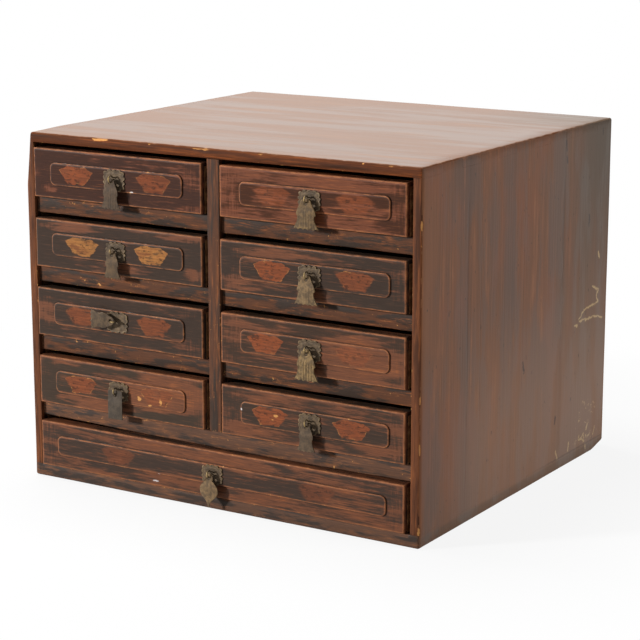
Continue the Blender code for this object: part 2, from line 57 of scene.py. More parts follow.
case_high = top_high.copy()
seam = 0.0003
touch = seam / 10
joint_line = 0.0001
finger_count = 11
line_spacing = 0.0026
finger_spacing = 1.7 * line_spacing
edge_round = 0.0025
edge_steps = 5
inner_edge_round = 0.0009
inner_edge_steps = 2
sharp_angle = math.radians(38)
wear_reach = 0.006
warp_depth = 0.0003
warp_length = 0.055
skin_depth = 0.015
lacquer_depth = 0.01
chip_margin = 0.18 * edge_round
chip_grain = 0.005
chip_ragged = 0.4
rear_corner = Vector((case_high.x, case_high.y, case_low.z))
rear_corner_reach = (0.0105, 0.025, 0.035)
rear_corner_give = Vector((0.0, 0.0, 0.006))
front_corner = Vector((case_low.x, case_low.y, case_high.z))
front_corner_reach = (0.0095, 0.05, 0.05)
front_corner_give = Vector((0.0058, 0.0, 0.0))
right_corner = Vector((case_high.x, case_low.y, case_low.z))


def even_lines(start, end, spacing):
    """Places from start to end, about one spacing apart."""
    count = max(1, round(abs(end - start) / spacing))
    return [start + (end - start) * index / count for index in range(count + 1)]


def finger_places(keeps_even):
    """Lines across the depth, with each finger cut back half a seam on the board that owns it."""
    width = (case_high.y - case_low.y) / finger_count
    places = []
    for index in range(finger_count + 1):
        place = case_low.y + index * width
        if 0 < index < finger_count:
            ends_here = (index % 2 == 1) == keeps_even
            place += -joint_line / 2 if ends_here else joint_line / 2
        places.append(place)
    lines = [places[0], back_low.y - seam]
    for start, end in zip(places, places[1:]):
        lines += even_lines(start, end, finger_spacing)[1:]
    return sorted(lines), places


def fingered_sheet(keeps_even, middle, ends, stand):
    """A ruled sheet with the gaps between its fingers cut out at both ends, put in its place."""
    lines_y, fingers = finger_places(keeps_even)
    lines_across = sorted([*middle, *ends])
    form = bmesh.new()
    bmesh.ops.create_grid(form, x_segments=len(lines_y) - 1, y_segments=len(lines_across) - 1, size=1.0)
    for vert in form.verts:
        vert.co.x = lines_y[round((vert.co.x + 1) / 2 * (len(lines_y) - 1))]
        vert.co.y = lines_across[round((vert.co.y + 1) / 2 * (len(lines_across) - 1))]
    gaps = []
    for face in form.faces:
        centre = face.calc_center_median()
        index = sum(centre.x > place for place in fingers) - 1
        if index % 2 == keeps_even and not middle[0] < centre.y < middle[-1]:
            gaps.append(face)
    bmesh.ops.delete(form, geom=gaps, context="FACES")
    bmesh.ops.transform(form, matrix=stand, verts=form.verts)
    return form


def only(kind, items):
    """The items of one kind among those that a step returned."""
    return [item for item in items if isinstance(item, kind)]


def draw_out(form, faces, step, from_sheet=False):
    """Draw faces out by a step and return the faces at the end: only a thin sheet keeps its near side."""
    drawn = bmesh.ops.extrude_face_region(form, geom=faces)["geom"]
    bmesh.ops.translate(form, verts=only(BMVert, drawn), vec=step)
    if not from_sheet:
        bmesh.ops.delete(form, geom=faces, context="FACES")
    return only(BMFace, drawn)


def turn_outward(form):
    """Let every face look outward."""
    bmesh.ops.recalc_face_normals(form, faces=form.faces)


def lies_at(item, axis, place):
    """Whether an edge or a face lies at one place along an axis."""
    return all(abs(vert.co[axis] - place) < touch for vert in item.verts)


def round_over(form, edges, radius, steps):
    """Round edges over, as use and a scraper do, and return the new points."""
    return bmesh.ops.bevel(form, geom=edges, offset=radius, offset_type="OFFSET", segments=steps,
                           profile=0.5, affect="EDGES", material=-1, clamp_overlap=True)["verts"]


def round_outer_edges(form):
    """Round over the edges that lie in two faces of the case."""
    planes = [(axis, corner[axis]) for axis in range(3) for corner in (case_low, case_high)]
    outer = [edge for edge in form.edges if sum(lies_at(edge, *plane) for plane in planes) > 1]
    round_over(form, outer, edge_round, edge_steps)


def point_layer(form, name):
    """The layer of numbers noted on the points under a name."""
    return form.verts.layers.float.get(name) or form.verts.layers.float.new(name)


def mark_wear(form, verts, low, high):
    """Note on each point how near it lies to an edge of a box."""
    worn = point_layer(form, "worn")
    for vert in verts:
        gaps = [min(abs(vert.co[axis] - low[axis]), abs(vert.co[axis] - high[axis])) for axis in range(3)]
        vert[worn] = max(0.0, 1.0 - sorted(gaps)[1] / wear_reach)


def warp(form):
    """Draw the outer skin of the case in by a hair, unevenly, as planed and shrunken boards are."""
    middle = (case_low + case_high) / 2
    half = (case_high - case_low) / 2
    for vert in form.verts:
        hollow = 0.5 + 0.5 * noise.noise(vert.co / warp_length)
        for axis in range(3):
            offset = vert.co[axis] - middle[axis]
            share = max(0.0, (abs(offset) - half[axis]) / skin_depth + 1)
            vert.co[axis] -= math.copysign(warp_depth * hollow * share ** 2, offset)


def blunt_corner(form, corner, reach, give):
    """Wear down a corner that has been knocked: it gives way within its reach along each axis."""
    for vert in form.verts:
        shares = [max(0.0, 1.0 - abs(vert.co[axis] - corner[axis]) / reach[axis]) for axis in range(3)]
        vert.co += give * math.prod(shares)


def chip(form, corner, axis, spots, inward):
    """Knock flakes off the edge that leaves a corner: each spot is a place, a length and a depth."""
    bare = point_layer(form, "bare")
    for along, length, depth in spots:
        place = corner.copy()
        place[axis] = along
        reach = [depth * 3 + chip_margin] * 3
        reach[axis] = length / 2
        for vert in form.verts:
            off = vert.co - place
            share = 1.0 - sum((off[side] / reach[side]) ** 2 for side in range(3))
            share += chip_ragged * noise.noise(vert.co / chip_grain)
            if share > 0:
                vert[bare] = max(vert[bare], min(1.0, 2.0 * share))
                vert.co += Vector(inward) * depth * min(1.0, 1.5 * share)


def new_mesh(name, form):
    """A mesh from a finished bmesh."""
    mesh = bpy.data.meshes.new(name)
    form.to_mesh(mesh)
    form.free()
    return mesh


def new_object(name, data):
    """A mesh, lamp or camera put into the scene."""
    made = bpy.data.objects.new(name, data)
    bpy.context.scene.collection.objects.link(made)
    return made


def add_piece(name, form, materials, body, slot, *nodes):
    """Turn a finished bmesh into a piece of the object that rides on a body and stands for its nodes."""
    turn_outward(form)
    mesh = new_mesh(name, form)
    for material in materials:
        mesh.materials.append(material)
    mesh.shade_smooth()
    mesh.set_sharp_from_angle(angle=sharp_angle)
    piece = new_object(name, mesh)
    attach(piece, body)
    if nodes:
        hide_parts(*nodes)


class Steps:
    """A tree of shader nodes: each method adds one step and returns its output."""

    def __init__(self, tree):
        self.nodes = tree.nodes
        self.links = tree.links

    def give(self, socket, value):
        """Link a socket to an output, or set it to a plain value."""
        if isinstance(value, bpy.types.NodeSocket):
            self.links.new(value, socket)
        else:
            socket.default_value = value

    def add(self, kind, **inputs):
        """A new node with some of its inputs given."""
        node = self.nodes.new("ShaderNode" + kind)
        for name, value in inputs.items():
            self.give(node.inputs[name.replace("_", " ")], value)
        return node

    def maths(self, operation, *values):
        """One sum on numbers."""
        node = self.add("Math")
        node.operation = operation
        for socket, value in zip(node.inputs, values):
            self.give(socket, value)
        return node.outputs[0]

    def times(self, first, second):
        """The product of two numbers."""
        return self.maths("MULTIPLY", first, second)

    def most(self, first, second):
        """The larger of two numbers."""
        return self.maths("MAXIMUM", first, second)

    def gap(self, first, second):
        """How far apart two numbers are."""
        return self.maths("ABSOLUTE", self.maths("SUBTRACT", first, second))

    def total(self, *terms):
        """The weighted sum of several numbers, given as pairs of number and weight."""
        value = 0.0
        for number, weight in terms:
            value = self.maths("MULTIPLY_ADD", number, weight, value)
        return value

    def rise(self, value, low, high, start=0.0, end=1.0):
        """A smooth step from start to end as a value goes from low to high."""
        node = self.add("MapRange", Value=value, From_Min=low, From_Max=high, To_Min=start, To_Max=end)
        node.interpolation_type = "SMOOTHSTEP"
        return node.outputs["Result"]


class Finish(Steps):
    """A surface whose colour is laid on coat by coat."""

    def __init__(self, name, specular):
        self.material = bpy.data.materials.new(name)
        self.material.use_nodes = True
        super().__init__(self.material.node_tree)
        self.shader = self.nodes["Principled BSDF"]
        self.shader.inputs["Specular IOR Level"].default_value = specular
        self.place = self.add("TexCoord").outputs["Object"]

    def measured(self, centre, size):
        """Places on the piece, counted from a centre in steps of the given size."""
        scale = [1 / length for length in size]
        start = [-middle * step for middle, step in zip(centre, scale)]
        return self.add("Mapping", Vector=self.place, Location=start, Scale=scale).outputs["Vector"]

    def axes(self, vector):
        """The X, Y and Z of a vector."""
        return self.add("SeparateXYZ", Vector=vector).outputs

    def oval(self, centre, reach, first, second):
        """How far places lie from a centre along two axes, squared and counted in its reach."""
        off = self.axes(self.measured(centre, reach))
        return self.maths("ADD", self.maths("POWER", off[first], 2.0), self.maths("POWER", off[second], 2.0))

    def cloud(self, size, detail, coarse=0.55):
        """Soft irregular patches of about the given size along X, Y and Z."""
        vector = self.measured((0.0, 0.0, 0.0), size)
        return self.add("TexNoise", Vector=vector, Scale=1.0, Detail=detail, Roughness=coarse).outputs["Fac"]

    def note(self, name):
        """A value noted on the points of the mesh."""
        node = self.add("Attribute")
        node.attribute_name = name
        return node.outputs["Fac"]

    def tint(self, share, under, over):
        """One colour laid over another where share is 1."""
        node = self.add("Mix")
        node.data_type = "RGBA"
        self.give(node.inputs["Factor"], share)
        for name, colour in (("A", under), ("B", over)):
            socket = next(item for item in node.inputs if item.name == name and item.type == "RGBA")
            self.give(socket, colour)
        return next(item for item in node.outputs if item.type == "RGBA")

    def lay(self, share, over, strength=None):
        """Lay one more colour over the surface, where share is 1, or weaker."""
        if strength is not None:
            share = self.times(share, strength)
        self.colour = self.tint(share, self.colour, over)

    def bump(self, depth, strength, *terms):
        """A relief of the given depth whose height is a weighted sum."""
        height = self.total(*terms)
        self.normal = self.add("Bump", Strength=strength, Distance=depth, Height=height).outputs["Normal"]

    def close(self):
        """Hand the finished colour, roughness and relief to the shader and return the material."""
        inputs = self.shader.inputs
        self.give(inputs["Base Color"], self.colour)
        self.give(inputs["Roughness"], self.roughness)
        self.give(inputs["Normal"], self.normal)
        return self.material


def paint(red, green, blue):
    """A colour mixed on a 0 to 255 scale, as the shader wants it."""
    shares = [value / 255 for value in (red, green, blue)]
    lights = [share / 12.92 if share < 0.04045 else ((share + 0.055) / 1.055) ** 2.4 for share in shares]
    return lights + [1.0]


dark_lacquer = paint(53, 42, 35)
red_lacquer = paint(100, 56, 36)
brown_lacquer = paint(98, 60, 41)
orange_wood = paint(136, 79, 44)
bare_wood = paint(214, 160, 92)
# Dark brown for dirt in the grain, seams and cracks, and for the painted shade round the foot of the drawer
# panels.
dirt_and_crease_shade = paint(30, 20, 16)


def lacquered(name, streak, colours, cover, gloss, specular, grain=0.35, seams=(), soft=0.16, wear=0.07):
    """Worn lacquer on wood, streaked along the grain, rubbed through at the edges, with open seams."""
    finish = Finish(name, specular)
    under, middle, over = colours
    longest = max(streak)
    patches = finish.cloud([length * 2.6 for length in streak], 2.0)
    streaks = finish.cloud(streak, 6.0, 0.62)
    fibres = finish.cloud([length * (2.0 if length == longest else 0.16) for length in streak], 3.0, 0.6)
    worn = finish.note("worn")
    rubbed = finish.total((patches, 0.55), (streaks, 0.45), (worn, wear))
    thin = finish.rise(rubbed, cover - 0.55 * soft, cover + 0.45 * soft)
    finish.colour = finish.tint(thin, under, middle)
    bright = finish.total((streaks, 0.7), (fibres, 0.3), (worn, wear))
    finish.lay(finish.rise(bright, cover + 0.04, cover + 0.2), over)
    finish.lay(finish.rise(fibres, 0.3, 0.7, grain, 0.0), dirt_and_crease_shade)
    height = finish.total((fibres, 0.5), (thin, -0.35), (streaks, 0.3))
    for place, width, strength in seams:
        deep = finish.axes(finish.place)[1]
        off = finish.gap(finish.total((patches, width * 1.6), (deep, 1.0)), place + width * 0.8)
        share = finish.times(finish.rise(off, 0.0, width, strength, 0.0), finish.rise(streaks, 0.4, 0.55))
        finish.lay(share, dirt_and_crease_shade)
        height = finish.total((height, 1.0), (share, -1.0))
    specks = finish.cloud((0.004, 0.004, 0.004), 5.0, 0.7)
    flaked = finish.rise(finish.total((worn, 0.42), (specks, 0.75), (streaks, 0.25)), 0.98, 1.03)
    knocked = finish.rise(finish.total((finish.note("bare"), 0.62), (specks, 0.8)), 0.74, 0.84)
    bare = finish.most(flaked, knocked)
    finish.lay(bare, finish.tint(fibres, orange_wood, bare_wood))
    finish.roughness = finish.total((finish.rise(thin, 0.0, 1.0, gloss, gloss + 0.14), 1.0), (worn, 0.25))
    finish.bump(0.0005, 0.5, (height, 1.0), (bare, -0.6))
    return finish


wood_pale = paint(168, 122, 78)
wood_brown = paint(122, 80, 48)
wood_dark = paint(70, 44, 28)


def bare_board(name, length_axis):
    """Old unpainted softwood with its grain along one axis."""
    finish = Finish(name, 0.25)
    ring_size = [0.006, 0.006, 0.006]
    ring_size[length_axis] = 1.2
    fibre_size = [0.0009, 0.0009, 0.0009]
    fibre_size[length_axis] = 0.05
    rings = finish.cloud(ring_size, 3.0, 0.5)
    fibres = finish.cloud(fibre_size, 4.0, 0.6)
    stain = finish.cloud((0.09, 0.12, 0.05), 4.0, 0.6)
    finish.colour = finish.tint(finish.rise(rings, 0.35, 0.65), wood_pale, wood_brown)
    finish.lay(finish.rise(stain, 0.45, 0.75, 0.0, 0.4), wood_dark)
    finish.lay(finish.rise(fibres, 0.3, 0.7, 0.4, 0.0), wood_dark)
    finish.roughness = finish.rise(rings, 0.3, 0.7, 0.62, 0.8)
    finish.bump(0.0004, 0.5, (fibres, 0.6), (rings, 0.4))
    return finish.close()


def sort_faces(form):
    """Sort the faces of a case board by the finish they get: level, upright, front or back, and inside."""
    turn_outward(form)
    for face in form.faces:
        centre = face.calc_center_median()
        facing = max(range(3), key=lambda axis: abs(face.normal[axis]))
        inside = 2 if centre.y < case_low.y + lacquer_depth else 3
        if facing == 2:
            face.material_index = 0 if face.normal.z > 0 and centre.z > top_low.z + seam else inside
        elif facing == 0:
            face.material_index = 1 if abs(centre.x) > side_inner + skin_depth / 3 else inside
        else:
            face.material_index = 2


def flat_board(outer, inner):
    """A finger-ended board between an outer and an inner height, with a rebate for the back panel."""
    rebate_height = back_low.z - seam if inner > outer else back_high.z + seam
    reach_x = back_high.x + seam
    notch_x = side_inner - joint_line
    middle = even_lines(-notch_x, notch_x, line_spacing)
    stand = Matrix(((0, 1, 0, 0), (1, 0, 0, 0), (0, 0, 1, outer), (0, 0, 0, 1)))
    form = fingered_sheet(True, middle, (case_low.x, -reach_x, reach_x, case_high.x), stand)
    kept = []
    for face in draw_out(form, form.faces[:], (0.0, 0.0, rebate_height - outer), True):
        centre = face.calc_center_median()
        if centre.y < back_low.y - seam or abs(centre.x) > reach_x:
            kept.append(face)
    draw_out(form, kept, (0.0, 0.0, inner - rebate_height))
    turn_outward(form)
    round_outer_edges(form)
    front_inner = [edge for edge in form.edges
                   if lies_at(edge, 2, inner) and lies_at(edge, 1, case_low.y)
                   and all(abs(vert.co.x) < notch_x + touch for vert in edge.verts)]
    round_over(form, front_inner, inner_edge_round, inner_edge_steps)
    mark_wear(form, form.verts, (case_low.x, case_low.y, min(outer, inner)),
              (case_high.x, case_high.y, max(outer, inner)))
    mark_wear(form, [vert for vert in form.verts if abs(vert.co.x) > notch_x - seam], case_low, case_high)
    warp(form)
    sort_faces(form)
    return form


def side_board():
    """The right side board, fingered at the top and the bottom and rebated at the back."""
    notch_low = bottom_high.z + joint_line
    notch_high = top_low.z - joint_line
    rebate_x = back_high.x + seam
    middle = even_lines(notch_low, notch_high, line_spacing)
    stand = Matrix(((0, 0, 1, case_high.x), (1, 0, 0, 0), (0, 1, 0, 0), (0, 0, 0, 1)))
    form = fingered_sheet(False, middle, (case_low.z, case_high.z), stand)
    inner = draw_out(form, form.faces[:], (rebate_x - case_high.x, 0.0, 0.0), True)
    kept = [face for face in inner if face.calc_center_median().y < back_low.y - seam]
    draw_out(form, kept, (side_inner - rebate_x, 0.0, 0.0))
    turn_outward(form)
    round_outer_edges(form)
    front_inner = [edge for edge in form.edges
                   if lies_at(edge, 0, side_inner) and lies_at(edge, 1, case_low.y)]
    round_over(form, front_inner, inner_edge_round, inner_edge_steps)
    mark_wear(form, form.verts, (side_inner, case_low.y, case_low.z), case_high)
    fingers = [vert for vert in form.verts if not notch_low + seam < vert.co.z < notch_high - seam]
    mark_wear(form, fingers, case_low, case_high)
    return form


side_streak = (0.02, 0.016, 0.08)
side_colours = (paint(84, 53, 32), paint(104, 65, 39), paint(124, 79, 50))
side_seams = ((-0.110, 0.003, 0.4), (-0.084, 0.0008, 0.5), (0.002, 0.0008, 0.3), (0.086, 0.005, 0.4))
side_bands = ((-0.108, 0.010), (-0.02, 0.006), (0.084, 0.012))
side_scuffs = ((0.142, 0.019, 0.065, 0.012, 0.08), (0.150, 0.045, 0.06, 0.03, 0.05))
side_ruddy = paint(112, 62, 36)
side_grey = paint(86, 66, 50)
side_shade = paint(62, 40, 26)
# A lighter colour painted on low towards the back, standing in for light bounced up from the floor.
painted_floor_bounce = paint(140, 104, 80)
corner_grey = paint(66, 57, 46)
scuffed_wood = paint(178, 150, 106)
scratch_width = 0.0016
scratch_routes = (
    ((0.158, 0.173), (0.172, 0.167), (0.168, 0.162), (0.172, 0.155), (0.139, 0.152), (0.128, 0.145)),
    ((0.129, 0.143), (0.144, 0.142), (0.163, 0.1415), (0.183, 0.137)),
    ((0.170, 0.206), (0.172, 0.200)),
    ((0.118, 0.140), (0.124, 0.1395)),
    ((0.155, 0.0315), (0.152, 0.0265)),
    ((0.172, 0.0245), (0.169, 0.0175)),
    ((0.161, 0.0205), (0.156, 0.0185)),
    ((0.146, 0.0235), (0.139, 0.0195), (0.148, 0.0155)),
    ((0.112, 0.022), (0.110, 0.0145)),
    ((0.081, 0.0205), (0.085, 0.0125)),
    ((0.151, 0.0105), (0.151, 0.0065)),
)
crack_width = 0.0018
crack_routes = (
    ((0.088, 0.327), (0.090, 0.318)),
    ((0.090, 0.3115), (0.092, 0.306)),
    ((0.145, 0.247), (0.145, 0.236)),
    ((0.004, 0.127), (0.007, 0.1165)),
    ((0.079, 0.0565), (0.077, 0.050)),
    ((0.172, 0.330), (0.172, 0.324)),
)


def drawn_lines(finish, deep, up, routes, ragged, half_width):
    """Lines drawn on the side through points given as depth and height."""
    lines = 0.0
    for start, end in [pair for route in routes for pair in zip(route, route[1:])]:
        run = Vector(end) - Vector(start)
        half = run.length / 2
        run.normalize()
        away_y = finish.maths("SUBTRACT", deep, (start[0] + end[0]) / 2)
        away_z = finish.maths("SUBTRACT", up, (start[1] + end[1]) / 2)
        along = finish.maths("ABSOLUTE", finish.total((away_y, run.x), (away_z, run.y)))
        aside = finish.total((away_y, -run.y), (away_z, run.x), (ragged, 0.008), (0.004, -1.0))
        line = finish.rise(finish.maths("ABSOLUTE", aside), half_width / 4, half_width, 1.0, 0.0)
        lines = finish.most(finish.times(line, finish.rise(along, half, half + 0.002, 1.0, 0.0)), lines)
    return lines


def side_lacquer():
    """Upright brushed lacquer, greyer towards the back, with scratches and scuffs low at the back corner."""
    finish = lacquered("side_lacquer", side_streak, side_colours, 0.5, 0.36, 0.19, 0.18, side_seams)
    across, deep, up = finish.axes(finish.place)
    clouds = finish.cloud((0.3, 0.05, 0.11), 4.0)
    finish.lay(finish.rise(clouds, 0.48, 0.68, 0.0, 0.35), side_ruddy)
    for band, reach in side_bands:
        off = finish.maths("ABSOLUTE", finish.total((deep, 1.0), (clouds, 0.012), (band + 0.006, -1.0)))
        finish.lay(finish.rise(off, 0.0, reach, 0.32, 0.0), side_shade)
    rear = finish.times(finish.rise(deep, 0.02, 0.15), finish.rise(clouds, 0.35, 0.6, 0.8, 0.45))
    finish.lay(rear, side_grey)
    # Painted light: the side is made lighter low down and greyer high up towards the back, standing in for
    # light bounced up from the white floor.
    low = finish.times(finish.rise(up, 0.03, 0.22, 0.5, 0.0), finish.rise(deep, -0.19, -0.05))
    finish.lay(low, painted_floor_bounce)
    high = finish.times(finish.rise(deep, 0.07, 0.17), finish.rise(up, 0.17, 0.32))
    finish.lay(high, corner_grey, 0.7)
    ragged = finish.cloud((0.006, 0.006, 0.006), 5.0, 0.7)
    near_top = finish.total((up, 1.0), (ragged, 0.02))
    finish.lay(finish.rise(near_top, case_high.z, case_high.z + 0.009, 0.0, 0.25), dirt_and_crease_shade)
    dashes = finish.cloud((0.004, 0.0022, 0.009), 2.0, 0.5)
    finish.lay(finish.rise(dashes, 0.71, 0.75, 0.0, 0.8), dirt_and_crease_shade)
    on_right = finish.rise(across, 0.0, 0.1)
    off = finish.maths("ABSOLUTE", finish.total((up, 1.0), (ragged, 0.003), (bottom_high.z + 0.001, -1.0)))
    joint = finish.times(finish.rise(off, 0.0, 0.0014, 0.6, 0.0), finish.rise(deep, 0.02, 0.09))
    cracks = finish.most(drawn_lines(finish, deep, up, crack_routes, ragged, crack_width), joint)
    finish.lay(finish.times(cracks, on_right), dirt_and_crease_shade, 0.75)
    finish.lay(finish.rise(up, 0.008, 0.0125, 0.45, 0.0), corner_grey)
    scratches = drawn_lines(finish, deep, up, scratch_routes, ragged, scratch_width)
    scratches = finish.times(scratches, finish.rise(ragged, 0.34, 0.44))
    scuffs = 0.0
    for y, z, reach_y, reach_z, strength in side_scuffs:
        nearness = finish.oval((0.0, y, z), (1.0, reach_y, reach_z), 1, 2)
        close_by = finish.maths("ADD", ragged, finish.rise(nearness, 0.0, 1.0, strength, -0.3))
        scuffs = finish.most(finish.rise(close_by, 0.62, 0.7), scuffs)
    finish.lay(finish.times(finish.most(scratches, scuffs), on_right), scuffed_wood, 0.7)
    return finish.close()


top_streak = (0.16, 0.02, 0.02)
top_colours = (paint(112, 75, 45), paint(120, 79, 47), paint(132, 89, 53))
top_grey = paint(98, 84, 70)
top_seams = ((-0.085, 0.0012, 0.5), (0.021, 0.0008, 0.3), (0.112, 0.0012, 0.4))
top_specular = 0.5
lip_colours = (paint(40, 24, 15), paint(78, 41, 21), paint(116, 62, 29))


def polished_lacquer():
    """The top's thicker lacquer, polished by hands and ragged brown where its edges are rubbed."""
    finish = lacquered("top_lacquer", top_streak, top_colours, 0.5, 0.3, top_specular, 0.12, top_seams)
    across, deep, up = finish.axes(finish.place)
    ragged = finish.cloud((0.012, 0.008, 0.008), 5.0, 0.7)
    hand_marks = finish.cloud((0.2, 0.05, 0.2), 2.0, 0.5)
    to_right = finish.total((across, 1.0), (ragged, 0.012), (hand_marks, 0.03))
    margin = finish.rise(to_right, case_high.x - 0.001, case_high.x + 0.022, 0.0, 0.3)
    rubbed = finish.rise(finish.total((finish.note("worn"), 0.62), (ragged, 0.7)), 0.66, 0.86)
    rubbed = finish.most(rubbed, margin)
    finish.lay(rubbed, lip_colours[1], 0.85)
    dull = finish.times(finish.rise(across, 0.07, 0.2), finish.rise(deep, 0.05, 0.18))
    finish.lay(dull, top_grey, 0.75)
    shine = finish.times(finish.rise(rubbed, 0.0, 0.8, 0.3, 0.0), finish.rise(dull, 0.0, 1.0, 1.0, 0.45))
    finish.give(finish.shader.inputs["Specular IOR Level"], finish.rise(rubbed, 0.0, 0.8, top_specular, 0.15))
    finish.give(finish.shader.inputs["Coat Weight"], shine)
    finish.give(finish.shader.inputs["Coat Roughness"], 0.2)
    finish.roughness = finish.maths("MULTIPLY_ADD", rubbed, 0.35, finish.roughness)
    return finish.close()


edge_colours = (paint(44, 32, 24), paint(77, 47, 30), paint(116, 68, 37))
low_colours = (paint(52, 42, 36), paint(82, 57, 43), paint(112, 72, 46))
stile_colours = (paint(64, 37, 23), paint(92, 53, 31), paint(120, 70, 38))
rail_streak = (0.016, 0.004, 0.0028)
upright_streak = (0.0022, 0.004, 0.03)
lip_streak = (0.06, 0.004, 0.004)
outside = (polished_lacquer(), side_lacquer())
inside_wood = bare_board("inside_wood", 1)
low_lacquer = lacquered("low_lacquer", rail_streak, low_colours, 0.545, 0.34, 0.1, soft=0.1, wear=0.1).close()
stile_lacquer = lacquered("stile_lacquer", upright_streak, stile_colours, 0.51, 0.32, 0.07).close()
lip_lacquer = lacquered("lip_lacquer", lip_streak, lip_colours, 0.49, 0.3, 0.04).close()

top_form = flat_board(case_high.z, top_low.z)
top_chips = (
    (-0.127, 0.026, 0.0008),
    (-0.070, 0.006, 0.0006),
    (-0.014, 0.034, 0.0006),
    (0.051, 0.006, 0.0006),
    (0.156, 0.007, 0.0006),
    (0.183, 0.009, 0.0006),
)
chip(top_form, front_corner, 0, top_chips, (0.0, 0.7, -0.7))
blunt_corner(top_form, front_corner, front_corner_reach, front_corner_give)
add_piece("top", top_form, (*outside, lip_lacquer, inside_wood), "case", "case_lacquer", "top_board")
bottom_form = flat_board(case_low.z, bottom_high.z)
blunt_corner(bottom_form, rear_corner, rear_corner_reach, rear_corner_give)
add_piece("bottom", bottom_form, (*outside, low_lacquer, inside_wood), "case", "case_lacquer", "bottom_board")

stile_finishes = (*outside, stile_lacquer, inside_wood)
right_form = side_board()
warp(right_form)
blunt_corner(right_form, rear_corner, rear_corner_reach, rear_corner_give)
right_chips = (
    (0.2885, 0.020, 0.0006),
    (0.2635, 0.014, 0.0004),
    (0.2400, 0.014, 0.0004),
    (0.2220, 0.010, 0.0004),
    (0.1360, 0.018, 0.0004),
    (0.1160, 0.016, 0.0004),
    (0.0930, 0.026, 0.0004),
    (0.0155, 0.012, 0.0006),
)
chip(right_form, right_corner, 2, right_chips, (-0.7, 0.7, 0.0))
sort_faces(right_form)
add_piece("right_side_board", right_form, stile_finishes, "case", "case_lacquer", "right_side")
left_form = side_board()
bmesh.ops.scale(left_form, vec=(-1.0, 1.0, 1.0), verts=left_form.verts)
warp(left_form)
blunt_corner(left_form, front_corner, front_corner_reach, front_corner_give)
sort_faces(left_form)
add_piece("left_side_board", left_form, stile_finishes, "case", "case_lacquer", "left_side")


# Divider and shelves: plain boards let into the sides and the divider, whose front edges are the
# rails between the drawers. The edges are lacquered dark, rubbed orange where drawers scrape them.
rail_round = 0.0009
rail_steps = 3
rail_warp = 0.0003
rail_wave = 0.014
rail_wave_aside = 0.02
rail_wave_start = Vector((3.0, 0.0, 0.0))
rail_sag = 0.0011
lower_low, lower_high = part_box("lower_shelf")
divider_low, divider_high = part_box("centre_divider")


def thin_board(low, high, along):
    """A board between two corners, cut into short lengths along its grain, its front edges eased."""
    form = bmesh.new()
    size = high - low
    place = Matrix.Translation((low + high) / 2) @ Matrix.Diagonal((*size, 1.0))
    bmesh.ops.create_cube(form, size=1.0, matrix=place)
    lengthwise = [edge for edge in form.edges
                  if abs(edge.verts[0].co[along] - edge.verts[1].co[along]) > size[along] / 2]
    cuts = round(size[along] / line_spacing)
    bmesh.ops.subdivide_edges(form, edges=lengthwise, cuts=cuts, use_grid_fill=True)
    front = [edge for edge in form.edges if lies_at(edge, 1, low.y)
             and abs(edge.verts[0].co[along] - edge.verts[1].co[along]) > seam]
    round_over(form, front, rail_round, rail_steps)
    bmesh.ops.bisect_plane(form, geom=form.verts[:] + form.edges[:] + form.faces[:], dist=touch,
                           plane_co=(0.0, low.y + lacquer_depth, 0.0), plane_no=(0.0, 1.0, 0.0))
    mark_wear(form, form.verts, low, high)
    for vert in form.verts:
        if vert.co.y < low.y + 2 * rail_round:
            vert.co.y += rail_warp * (1 + noise.noise(vert.co / rail_wave))
            for axis in (0, 2):
                if axis != along:
                    vert.co[axis] += rail_warp * noise.noise(vert.co / rail_wave_aside + rail_wave_start)
    turn_outward(form)
    for face in form.faces:
        face.material_index = 0 if face.calc_center_median().y < low.y + lacquer_depth else 1
    return form


upright_lacquer = lacquered("upright_lacquer", upright_streak, edge_colours, 0.53, 0.32, 0.12).close()
divider_low.z = lower_high.z + seam
divider_high.z = top_low.z - seam
divider_form = thin_board(divider_low, divider_high, 2)
add_piece("divider", divider_form, (upright_lacquer, inside_wood), "case", "case_lacquer", "centre_divider")
lower_low.x = -side_inner + seam
lower_high.x = side_inner - seam
lower_form = thin_board(lower_low, lower_high, 0)
for vert in lower_form.verts:
    if vert.co.z < lower_low.z + 2 * rail_round:
        along = vert.co.x / lower_high.x
        vert.co.z += rail_sag * (2 * along ** 2 - along - 1)
add_piece("rail_lower", lower_form, (low_lacquer, inside_wood), "case", "case_lacquer", "lower_shelf")
rail_finish = lacquered("rail_lacquer", rail_streak, edge_colours, 0.575, 0.34, 0.1, soft=0.1, wear=0.1)
rail_finishes = (rail_finish.close(), inside_wood)
for column, side in (("left", -1), ("right", 1)):
    for number in (1, 2, 3):
        low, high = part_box(f"{column}_shelf_{number}")
        low.x, high.x = sorted((side * (side_inner - seam), side * (divider_high.x + seam)))
        add_piece(f"rail_{column}_{number}", thin_board(low, high, 0), rail_finishes, "case",
                  "case_lacquer", f"{column}_shelf_{number}")


# Back panel and drawer boxes: unpainted softwood planed by hand and gone brown with age. The panel
# lies in a rebate, and each box has two sides, a back and a floor held in grooves.
box_back = 0.007
long_wood = bare_board("drawer_side_wood", 1)
cross_wood = bare_board("drawer_cross_wood", 0)
for name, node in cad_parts.items():
    if name == "back_panel" or (name.startswith("drawer_") and not name.endswith("_front")):
        low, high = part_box(name)
        whole_cross = name == "back_panel" or name.endswith(("_floor", "_back"))
        node.data.materials.clear()
        node.data.materials.append(long_wood)
        node.data.materials.append(cross_wood)
        for face in node.data.polygons:
            place = node.matrix_world @ face.center
            in_back = name.endswith("_walls") and place.y > high.y - box_back - seam
            face.material_index = 1 if whole_cross or in_back else 0


